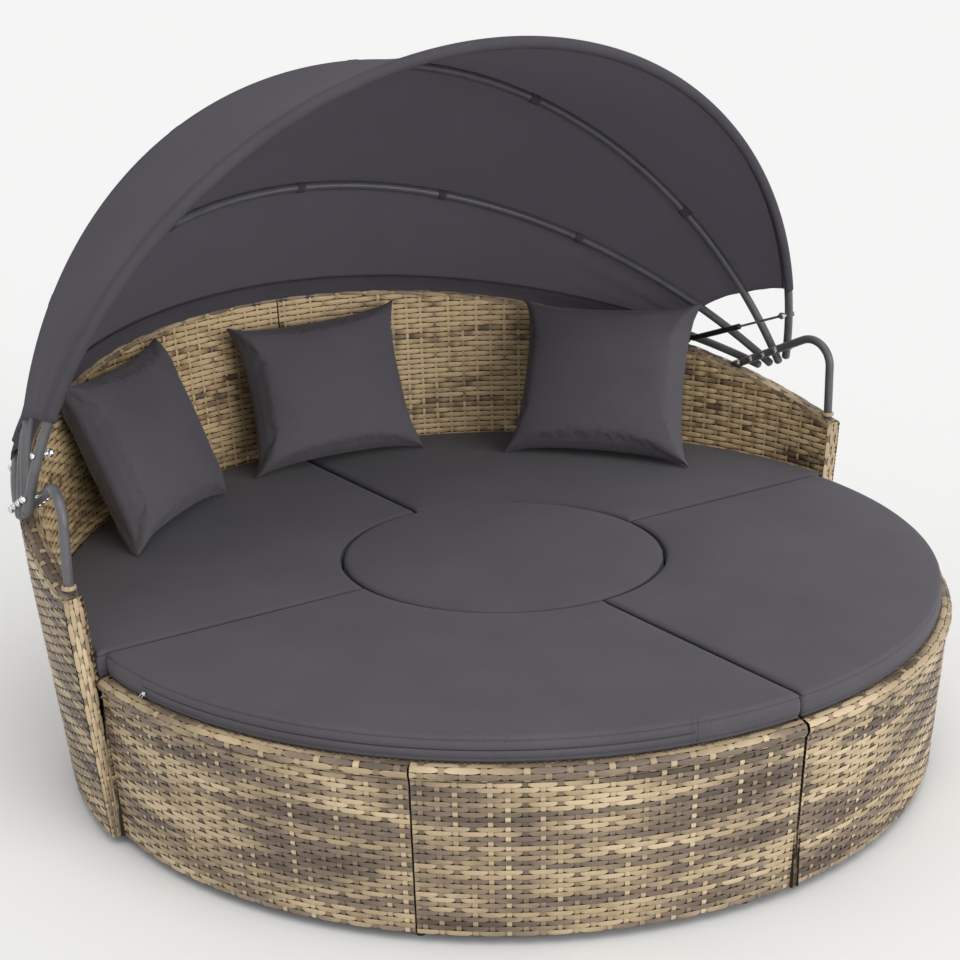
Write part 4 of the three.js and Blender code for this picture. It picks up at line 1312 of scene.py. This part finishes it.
# Canopy: one continuous cover of grey polyester canvas in three panels, sewn where it passes over
# the hoops. The front edge is hemmed round the front hoop and loops hold it to the others.
cloth_thickness = 0.0012
cloth_clearance = 0.0004
cloth_offset = tube_radius + cloth_thickness / 2 + cloth_clearance
cloth_sag = 0.012
scallops = (0.004, 0.003, 0.002)  # how far the lower edge arches up between two hoops, as a share
bunched = (0.009, 0.0012, 0.0012)  # height of the gathers at each panel's two ends
cloth_columns = 160
cloth_rows = 28
yarn_width = 0.0012
cloth_roughness = 0.85
cloth_relief = 0.25
sheen_roughness = 0.45
light_share = 0.5  # of the shader that lets light through
panel_names = ("rear", "middle", "front")

fabric, given = new_group(
    "crossed yarns",
    "ShaderNodeTree",
    {"Place": "Vector", "Yarn Turn": "Float", "Relief": "Float"},
    {"Shade": "Float", "Normal": "Vector"},
)
fleck = noise_node(fabric, given["Place"], 420.0, 3.0, 0.6)
cloud = noise_node(fabric, given["Place"], 7.0, 3.0)
x, y, z = [(axis * given["Yarn Turn"]).math("SINE") for axis in separated(fabric, given["Place"])]
yarn_relief = (x + z) * (y + z) * 0.12 + fleck
yarn_normal = bumped(fabric, yarn_relief, given["Relief"], 0.0005)
add_node(fabric, "NodeGroupOutput", {"Shade": fleck * 0.65 + cloud * 0.35, "Normal": yarn_normal})


def canvas(name, dark, light, sheen, through=None):
    """Fabric flecked thread by thread, with a soft sheen; light may pass through, in a colour."""
    material, tree = new_material(name)
    inputs = {
        "Place": object_place(tree),
        "Yarn Turn": 2 * math.pi / yarn_width,
        "Relief": cloth_relief,
    }
    cloth = add_node(tree, "ShaderNodeGroup", inputs, node_tree=fabric).outputs
    face = add_node(tree, "ShaderNodeBsdfPrincipled", {
        "Base Color": tone_ramp(tree, cloth["Shade"], ((0.3, (*dark, 1)), (0.7, (*light, 1)))),
        "Roughness": cloth_roughness,
        "Sheen Weight": sheen,
        "Sheen Roughness": sheen_roughness,
        "Specular IOR Level": 0.25,
        "Normal": cloth["Normal"],
    })
    if through:
        inputs = {"Color": (*through, 1), "Normal": cloth["Normal"]}
        glow = add_node(tree, "ShaderNodeBsdfTranslucent", inputs)
        inputs = {0: light_share, 1: face.outputs[0], 2: glow.outputs[0]}
        face = add_node(tree, "ShaderNodeMixShader", inputs)
    add_node(tree, "ShaderNodeOutputMaterial", {"Surface": face.outputs[0]})
    return material


canopy_canvas = canvas(
    "canopy canvas", (0.100, 0.093, 0.106), (0.145, 0.135, 0.154), 0.06,
    through=(0.385, 0.360, 0.405),
)


def cloth_normal(index, share):
    """Direction out of the canopy where the cover passes over one hoop."""
    rear, front = hoops[max(index - 1, 0)], hoops[min(index + 1, 3)]
    across = front.cloth_point(share) - rear.cloth_point(share)
    return across.cross(hoops[index].cloth_way(share)).normalized()


def cloth_rim(index, share):
    return hoops[index].cloth_point(share) + cloth_offset * cloth_normal(index, share)


def panel_point(index, share, way):
    """A point of the panel between two hoops; it hangs in a little between them."""
    arch = scallops[index] * 4 * way * (1 - way)
    share = 0.5 + (share - 0.5) * (1 - 2 * arch)
    rear, front = cloth_rim(index, share), cloth_rim(index + 1, share)
    out = cloth_normal(index, share).lerp(cloth_normal(index + 1, share), way).normalized()
    sag = cloth_sag * (1 - (2 * way - 1) ** 2) * math.sin(math.pi * share)
    gathers = bunched[index] * math.exp(-16 * min(share, 1 - share))
    slack = gathers * math.sin(5 * math.pi * way + 30 * share) * math.sin(math.pi * way)
    point = rear.lerp(front, way) - (sag - slack) * out
    return point, out


def sheet_rings(points, normals, thickness):
    """A thin closed skin round a grid of points, as rings across it and back underneath."""
    top = points + 0.5 * thickness * normals
    under = points - 0.5 * thickness * normals
    return np.concatenate([top, under[:, ::-1]], axis=1)


def flat_size(points):
    """Width along the columns and length along the rows of a grid, and its area."""
    along = np.linalg.norm(np.diff(points, axis=0), axis=2).sum(0)
    over = np.linalg.norm(np.diff(points, axis=1), axis=2).sum(1)
    a = points[1:, 1:] - points[:-1, :-1]
    b = points[1:, :-1] - points[:-1, 1:]
    area = 0.5 * np.linalg.norm(np.cross(a, b), axis=2).sum()
    return float(over.max()), float(along.max()), float(area)


cloth_shares = np.linspace(0, 1, cloth_columns + 1).tolist()
cloth_ways = np.linspace(0, 1, cloth_rows + 1).tolist()
panels = []
for index, part in enumerate(panel_names):
    cells = [[panel_point(index, share, way) for way in cloth_ways] for share in cloth_shares]
    points = np.array([[point for point, _ in row] for row in cells])
    normals = np.array([[out for _, out in row] for row in cells])
    name = f"{part}_canopy_panel"
    skin = sheet_rings(points, normals, cloth_thickness)
    panel = show(name, ring_mesh(name, skin, canopy_canvas))
    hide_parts(f"{part}_canopy_cloth")
    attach(panel, hoop_bodies[index + 1])
    width, length, area = flat_size(points)
    area = min(area, width * length)
    panels.append(panel)

# The panels' outer hems: the cloth goes round its hoop and back along the panel's inside
front_hem_width = 0.024
rear_hem_width = 0.014
hems = (
    ("canopy_front_hem", 3, -1, front_hem_width, "front_hoop"),
    ("canopy_rear_hem", 0, 1, rear_hem_width, "sofa"),
)


def hem_path(index, share, inward, width):
    """Section of a hem at one hoop: round the tube from outside, then back along the panel."""
    panel = index if inward > 0 else index - 1
    out = cloth_normal(index, share)
    centre = cloth_rim(index, share) - cloth_offset * out
    across = (cloth_rim(panel + 1, share) - cloth_rim(panel, share)) * inward
    away = -(across - across.dot(out) * out).normalized()
    radius = cloth_offset + cloth_thickness
    turns = np.linspace(0, math.pi, 9).tolist()
    points = [centre + radius * (math.cos(t) * out + math.sin(t) * away) for t in turns]
    for part in (0.2, 0.4, 0.6, 0.8, 1.0):
        way = part * width / across.length
        spot, face = panel_point(panel, share, way if inward > 0 else 1 - way)
        gap = 2 * tube_radius * max(0.0, 1 - 1.6 * part) ** 2 + 1.6 * cloth_thickness
        points.append(spot - gap * face)
    return points


def hem_mesh(name, index, inward, width):
    rings = []
    for share in cloth_shares:
        path = np.array(hem_path(index, share, inward, width))
        normals = np.cross(np.gradient(path, axis=0), np.array(hoops[index].cloth_way(share)))
        normals /= np.linalg.norm(normals, axis=1)[:, None]
        half = 0.5 * cloth_thickness * normals
        rings.append(np.concatenate([path + half, (path - half)[::-1]]))
    return ring_mesh(name, np.array(rings), canopy_canvas)


for name, index, inward, width, body in hems:
    hem = show(name, hem_mesh(name, index, inward, width))
    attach(hem, body)

# Facing strip that hangs inside the rear hoop and closes the gap down to the rim
facing_drop = 0.037
facing_step = tube_radius + 2.2 * cloth_thickness
pucker_height = 0.0006
rim_down = Vector((0, rim_slope, -1)).normalized()


def facing_mesh():
    rings = []
    hoop = hoops[0]
    for share in cloth_shares:
        middle = hoop.cloth_point(share)
        inward = rim_down.cross(hoop.cloth_way(share)).normalized()
        if inward.dot(middle - hoop.pivot.y * Vector((0, 1, 0))) > 0:
            inward = -inward
        pucker = pucker_height * math.sin(180 * share)
        path = [
            middle + step * inward + down * rim_down
            for step, down in (
                (0.1 * facing_step, -1.05 * facing_step),
                (0.75 * facing_step, -0.75 * facing_step),
                (1.1 * facing_step + 0.0005, 0.15 * facing_drop),
                (1.6 * facing_step + pucker, 0.6 * facing_drop),
                (1.85 * facing_step + pucker, facing_drop),
            )
        ]
        outer = [point - cloth_thickness * inward for point in path[::-1]]
        rings.append(np.array([*path, *outer]))
    return ring_mesh("canopy_rear_facing", np.array(rings), canopy_canvas)


facing = show("canopy_rear_facing", facing_mesh())
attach(facing, "sofa")

# Loops sewn to the seams, which go round the rear three hoops
loop_width = 0.024
arc_share = 0.8  # of the half circle on a hoop's height, about the length of the hoop
loop_shares = {
    0: (0.22, 0.26, 0.5, 0.74, 0.78),
    1: (0.155, 0.33, 0.507, 0.68, 0.845),
    2: (0.103, 0.3, 0.5, 0.7, 0.897),
}
for index, shares in loop_shares.items():
    hoop = hoops[index]
    half = loop_width / 2 / (math.pi * hoop.height * arc_share)
    for number, share in enumerate(shares, 1):
        line = [hoop.cloth_point(spot) for spot in np.linspace(share - half, share + half, 7)]
        rings = tube_rings(line, cloth_offset + cloth_thickness, hoop.normal, False)
        name = f"hoop_{hoop.number}_loop_{number}"
        loop = show(name, ring_mesh(name, rings, canopy_canvas))
        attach(loop, hoop_bodies[index])

folds = (("canopy_fold", 3), ("middle_hoop_fold", 2), ("rear_hoop_fold", 1))
for joint, index in folds:
    hoop = hoops[index]
    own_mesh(panels[index - 1])


# Seat cushions: four quarter pads and a round one of foam in grey polyester covers, each with a
# boxed side between two welts. They lie on the decks, and those of ottomans and table lift off.
cushion_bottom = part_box("round_cushion")[0].z
cushion_depth = 0.050
cushion_crown = 0.009
cushion_gap = 0.0022
cushion_overhang = 0.004  # past the inner curved wall of the boxes
cushion_setback = 0.0148
cushion_wall_gap = 0.0066
round_cushion_gap = 0.004
zip_groove = 0.0022
zip_span = (-0.405, 0.345)  # shares of a quarter along its curved front
seam_level = 0.32  # of the boxed side's two seams, from its middle
pucker_depth = 0.00045
dent_depth = 0.0009
side_slack = 0.0012
lower_boxing = (  # height over the depth of the pad, and how far the side draws in there
    (0.000, 0.0110), (0.024, 0.0060), (0.080, 0.0026), (0.145, 0.0013),
    (0.180, 0.0030), (0.215, 0.0011), (0.320, 0.0003), (0.470, 0.0000),
)
upper_boxing = (
    (0.530, 0.0000), (0.680, 0.0003), (0.785, 0.0011), (0.820, 0.0030),
    (0.855, 0.0013), (0.920, 0.0026), (0.976, 0.0060), (1.000, 0.0110),
)
boxing = (*lower_boxing, (0.500, 0.0000), *upper_boxing)
zip_level = len(lower_boxing)
seat_fabric = canvas("seat cushion fabric", (0.065, 0.061, 0.070), (0.097, 0.091, 0.105), 0.1)
inner_radius = core_radius - cushion_overhang
front_radius = ring_radius + ring_lean * (seat_height - floor_gap) - cushion_setback
rear_radius = wall_inner(cushion_bottom) - cushion_wall_gap


def block_skin(columns, rows, layers):
    """The skin of a block: shares from -0.5 to 0.5 along its three sides, and its faces."""
    index, shares, quads = {}, [], []
    sizes = (columns, rows, layers)

    def corner(*spot):
        if spot not in index:
            index[spot] = len(shares)
            shares.append([spot[i] / sizes[i] - 0.5 for i in range(3)])
        return index[spot]

    for axis in range(3):
        first, second = (axis + 1) % 3, (axis + 2) % 3
        for level in (0, sizes[axis]):
            for i in range(sizes[first]):
                for j in range(sizes[second]):
                    quad = []
                    for a, b in ((0, 0), (1, 0), (1, 1), (0, 1)):
                        spot = [0, 0, 0]
                        spot[axis], spot[first], spot[second] = level, i + a, j + b
                        quad.append(corner(*spot))
                    quads.append(quad if level else quad[::-1])
    return np.array(shares), quads


def layer_of(w):
    return np.rint((w + 0.5) * (len(boxing) - 1)).astype(int)


def boxed_side(w, along):
    """Height and draw-in of the boxed side at each layer, with puckers along its two seams."""
    heights, insets = np.array(boxing).T[:, layer_of(w)]
    near_seam = np.exp(-((np.abs(heights - 0.5) - seam_level) / 0.10) ** 2)
    pucker = np.sin(along * 61.0) + 0.7 * np.sin(along * 143.0 + 1.3)
    return heights * cushion_depth, insets + pucker_depth * near_seam * (1 + pucker)


def top_crown(w, far, x, y):
    """How far the top stands up: full in the middle, with the soft unevenness of the filling."""
    dents = dent_depth * (np.sin(9.1 * x + 3.0 * y) + np.sin(7.3 * y - 4.0 * x + 1.0))
    return np.where(w > 0.49, (cushion_crown + dents) * far, 0)


def quarter_pad(outer_radius, has_zip):
    """A quarter pad in the first quarter, about the origin."""
    shares, quads = block_skin(44, 132, len(boxing) - 1)
    u, v, w = shares.T
    height, inset = boxed_side(w, 3.0 * u + 7.0 * v)
    zipped = (u > 0.49) & (v > zip_span[0]) & (v < zip_span[1]) & (layer_of(w) == zip_level)
    inset = inset + np.where(zipped, zip_groove if has_zip else 0, 0)
    slack = side_slack * np.cos(np.pi * u) * (np.abs(v) > 0.49)
    radius = inner_radius + inset + (u + 0.5) * (outer_radius - inner_radius - 2 * inset)
    turn = np.arcsin((cushion_gap + inset + slack) / radius)
    angle = turn + (v + 0.5) * (math.pi / 2 - 2 * turn)
    x, y = radius * np.cos(angle), radius * np.sin(angle)
    height = height + top_crown(w, (1 - (2 * u) ** 4) * (1 - (2 * v) ** 4), x, y)
    return np.stack([x, y, height], 1), quads


def disc_pad(radius):
    shares, quads = block_skin(44, 44, len(boxing) - 1)
    u, v, w = shares.T
    x, y = 2 * u * np.sqrt(1 - 2 * v * v), 2 * v * np.sqrt(1 - 2 * u * u)
    height, inset = boxed_side(w, 2.0 * np.arctan2(y, x))
    reach = radius - inset
    height = height + top_crown(w, 1 - np.hypot(x, y) ** 4, reach * x, reach * y)
    return np.stack([reach * x, reach * y, height], 1), quads


def cover_object(name, points, quads, material):
    """A smooth cover from points and faces."""
    mesh = bpy.data.meshes.new(name)
    mesh.from_pydata(points.tolist(), [], quads)
    mesh.polygons.foreach_set("use_smooth", [True] * len(mesh.polygons))
    mesh.materials.append(material)
    return show(name, mesh)


zipped_pad = quarter_pad(front_radius, True)
front_pad = quarter_pad(front_radius, False)
rear_pad = quarter_pad(rear_radius, False)
round_pad = disc_pad(inner_radius - round_cushion_gap)
pads = (
    ("right_seat_cushion", rear_pad, 0, "sofa"),
    ("left_seat_cushion", rear_pad, 90, "sofa"),
    ("left_ottoman_cushion", zipped_pad, 180, "left_ottoman_pad"),
    ("right_ottoman_cushion", front_pad, 270, "right_ottoman_pad"),
    ("round_cushion", round_pad, 0, "table_pad"),
)
for node, (points, quads), turn, body in pads:
    c, s = math.cos(math.radians(turn)), math.sin(math.radians(turn))
    turned = points @ np.array([[c, s, 0], [-s, c, 0], [0, 0, 1]])
    placed = turned + np.array([0, centre_y, cushion_bottom])
    pad = cover_object(f"{node}_cover", placed, quads, seat_fabric)
    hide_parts(node)
    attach(pad, body)


# Zip of the left front cushion: a black coil in a groove between the welts, with a stitched ridge
# across the boxed side at its ends. Its plated slider carries a flat tab that hangs down askew.
slider_lean = -137.0  # degrees of the tab from the way along the zip
slider_length = 0.026
slider_width = 0.0065
tab_depths = (0.0022, 0.0034)
slider_depths = (-0.0005, 0.0020)
wedge = [(-0.005, -0.0025), (0.004, -0.0040), (0.004, 0.0040), (-0.005, 0.0025)]
coil_radius = 0.0014
coil_stand = 0.0008
welt_radius = 0.0013
welt_sink = 0.0004
pair_spacing = 0.004  # half of the way between the two ridges at one end, as a share


def zip_slider():
    """A wedge-shaped slider on the coil, and the tab: a frame of four strips round its slot."""
    low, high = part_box("zip_slider")
    middle = (low + high) / 2
    out = Vector((middle.x, middle.y - centre_y, 0)).normalized()
    along = up_axis.cross(out)
    whole = bmesh.new()

    def slab(outline, depths):
        """A flat piece over an outline of distances along the zip and up, between two depths."""
        flat = [middle + a * along + b * up_axis for a, b in outline]
        inner, outer = [[whole.verts.new(spot + depth * out) for spot in flat] for depth in depths]
        whole.faces.new(inner[::-1])
        whole.faces.new(outer)
        for k in range(len(outline)):
            m = (k + 1) % len(outline)
            whole.faces.new((inner[k], inner[m], outer[m], outer[k]))

    def strip(near, far, low, high):
        """A strip of the tab, between two distances along it and two across it."""
        lean = math.radians(slider_lean)
        c, s = math.cos(lean), math.sin(lean)
        corners = ((near, low), (far, low), (far, high), (near, high))
        slab([(c * a - s * b, s * a + c * b) for a, b in corners], tab_depths)

    slab(wedge, slider_depths)
    half, slot, end = slider_width / 2, 0.3 * slider_width, 0.18 * slider_length
    strip(0, slider_length, -half, -slot)
    strip(0, slider_length, slot, half)
    for near in (-0.001, 0.82 * slider_length):
        strip(near, near + end, -half, half)
    return whole


slider = show("zip_slider_shape", creased_mesh("zip_slider_shape", zip_slider(), bright_plate))
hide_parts("zip_slider")
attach(slider, "zip")

zip_ends = (zip_span[0], zip_span[1] - pair_spacing, zip_span[1] + pair_spacing)
for number, share in enumerate(zip_ends, 1):
    angle = math.pi + (share + 0.5) * math.pi / 2
    line = [
        turned_point(
            front_radius - inset - welt_sink, math.degrees(angle), 0,
            cushion_bottom + height * cushion_depth,
        )
        for height, inset in boxing[1:-1]
    ]
    way = (-math.sin(angle), math.cos(angle), 0)
    name = f"zip_end_welt_{number}"
    welt = show(name, ring_mesh(name, tube_rings(line, welt_radius, way, True), seat_fabric))
    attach(welt, "left_ottoman_pad")

zip_black, zip_tree = new_material("black zip coil")
zip_teeth = noise_node(zip_tree, object_place(zip_tree), 700.0, 2.0)
zip_tones = ((0.3, (0.006, 0.006, 0.007, 1)), (0.7, (0.020, 0.019, 0.021, 1)))
shaded(zip_tree, {
    "Base Color": tone_ramp(zip_tree, zip_teeth, zip_tones),
    "Roughness": 0.5,
    "Normal": bumped(zip_tree, zip_teeth, 0.4, 0.0004),
})
coil_height = cushion_bottom + 0.5 * cushion_depth
coil_line = [
    turned_point(front_radius - zip_groove + coil_stand, 180 + 90 * (share + 0.5), 0, coil_height)
    for share in np.linspace(*zip_span, 121)
]
coil_rings = tube_rings(coil_line, coil_radius, (0, 0, 1), True)
coil = show("left_cushion_zip", ring_mesh("left_cushion_zip", coil_rings, zip_black))
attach(coil, "left_ottoman_pad")


# Pillows: three square throw pillows of the same grey, stuffed full, that stand on the rear
# cushions and lean back against the wall.
pillow_width = 0.452
pillow_height = 0.410
pillow_thickness = 0.135
pillow_edge = 0.012
pillow_outline = 2.5  # power of the curve that a side follows between its corners
pillow_fullness = 0.42  # power of the crown; the lower, the fuller the pillow is towards its edge
swell_room = 0.022  # taken off the thickness before the cover is blown up
pillow_draw = 0.085
pillow_ear = 0.006  # how far the corners stand out as points
ear_reach = 0.035
fold_depth = 0.0035
fold_reach = 0.075
fold_start = 0.03
# The pillows' cover is the cushions' grey painted lighter: painted light for the light that reaches
# them under the canopy.
pillow_fabric = canvas("pillow fabric", (0.075, 0.069, 0.080), (0.111, 0.103, 0.118), 0.1)
cover_share = 0.985  # of the form's size, before its cover is blown up
cover_voxel = 0.005
swell_cap = 0.012
swell_frames = 20
pillow_places = {  # corners: the pull on each, across and up, from the upper right one on round
    "left": dict(
        share=0.787, angle=128.5, lean=27.8, roll=-3.7,
        corners=((0.010, 0.002), (0.004, -0.024), (-0.010, -0.014), (-0.026, 0.010)),
    ),
    "middle": dict(
        share=0.795, angle=86.4, lean=24.8, roll=-0.9,
        corners=((0.001, -0.006), (0.0, -0.029), (-0.007, 0.009), (-0.002, 0.016)),
    ),
    "right": dict(
        share=0.712, angle=36.5, lean=35.0, roll=2.0,
        corners=((-0.001, 0.004), (-0.002, 0.002), (0.003, 0.002), (0.013, -0.014)),
    ),
}
corner_signs = ((1, 1), (-1, 1), (-1, -1), (1, -1))


def pillow_form():
    shares, quads = block_skin(36, 36, 4)
    u, v, w = shares.T
    body = np.maximum((1 - 4 * u * u) * (1 - 4 * v * v), 0) ** pillow_fullness
    depth = pillow_edge + body * (pillow_thickness - swell_room)
    across = 1 - pillow_draw * (1 - np.abs(2 * v) ** pillow_outline)
    tall = 1 - pillow_draw * (1 - np.abs(2 * u) ** pillow_outline)
    return np.stack([u * pillow_width * across, w * depth, v * pillow_height * tall], 1), quads


def vertex_places(mesh):
    places = np.zeros(3 * len(mesh.vertices))
    mesh.vertices.foreach_get("co", places)
    return places.reshape(-1, 3)


def swelled(points, quads):
    """The form after its cover has been blown up as cloth, with no point moved past the cap."""
    mesh = bpy.data.meshes.new("swelling")
    mesh.from_pydata(points.tolist(), [], quads)
    maker = show("swelling", mesh)
    remesh = maker.modifiers.new("remesh", "REMESH")
    remesh.mode = "VOXEL"
    remesh.voxel_size = cover_voxel
    fine = bpy.data.meshes.new_from_object(evaluated(maker))
    forget(maker)
    cover = show("swelling", fine)
    start = vertex_places(fine)
    settings = cover.modifiers.new("cloth", "CLOTH").settings
    settings.quality = 5
    settings.mass = 0.3
    settings.tension_stiffness = 12
    settings.compression_stiffness = 12
    settings.shear_stiffness = 4
    settings.bending_stiffness = 0.3
    settings.use_pressure = True
    settings.uniform_pressure_force = 4
    settings.effector_weights.gravity = 0
    for step in range(1, swell_frames + 1):
        bpy.context.scene.frame_set(step)
    shift = vertex_places(evaluated(cover).data) - start
    faces = [tuple(polygon.vertices) for polygon in fine.polygons]
    forget(cover)
    bpy.context.scene.frame_set(1)
    far = np.linalg.norm(shift, axis=1, keepdims=True)
    return start + shift * np.minimum(1, swell_cap / np.maximum(far, 1e-9)), faces


def creased(points):
    """Pointed corners, with soft folds that run from them into the cover."""
    u, v = points[:, 0] / pillow_width, points[:, 2] / pillow_height
    folds = 0
    out = points.copy()
    for number, (a, b) in enumerate(corner_signs):
        dx, dz = (u - a / 2) * pillow_width, (v - b / 2) * pillow_height
        away = np.hypot(dx, dz)
        fan = np.sin(7.0 * np.arctan2(-b * dz, -a * dx) + 1.7 * number)
        fading = np.exp(-away / fold_reach) * np.clip(away / fold_start, 0, 1)
        folds = folds + fold_depth * fan * fading
        ear = pillow_ear * np.exp(-away / ear_reach)
        out[:, 0] += a * ear
        out[:, 2] += b * ear
    out[:, 1] += np.sign(points[:, 1]) * folds
    return out


def pulled(points, corners, roll):
    """The cover with its corners pulled askew, then turned in its own plane."""
    u, v = points[:, 0] / pillow_width, points[:, 2] / pillow_height
    x, z = points[:, 0].copy(), points[:, 2].copy()
    for (across, up), (a, b) in zip(corners, corner_signs):
        weight = (0.5 + a * u) * (0.5 + b * v)
        x += weight * across
        z += weight * up
    c, s = math.cos(roll), math.sin(roll)
    return np.stack([c * x - s * z, points[:, 1], s * x + c * z], 1)


pillow_points, pillow_faces = pillow_form()
pillow_points, pillow_faces = swelled(cover_share * pillow_points, pillow_faces)
pillow_points = creased(pillow_points)
for side, place in pillow_places.items():
    angle, lean = math.radians(place["angle"]), math.radians(place["lean"])
    turn = Matrix.Rotation(angle - math.pi / 2, 3, "Z") @ Matrix.Rotation(-lean, 3, "X")
    points = pulled(pillow_points, place["corners"], math.radians(place["roll"]))
    points = (points + np.array([0, 0, pillow_height / 2])) @ np.array(turn).T
    radius = place["share"] * rear_radius
    points += np.array([radius * math.cos(angle), radius * math.sin(angle) + centre_y, 0])
    points[:, 2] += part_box(f"{side}_pillow")[0].z - points[:, 2].min()
    pillow = cover_object(f"{side}_pillow_cover", points, pillow_faces, pillow_fabric)
    finer = pillow.modifiers.new("finer", "SUBSURF")
    finer.levels = finer.render_levels = 1
    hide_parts(f"{side}_pillow")
    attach(pillow, f"pillow_{side}")
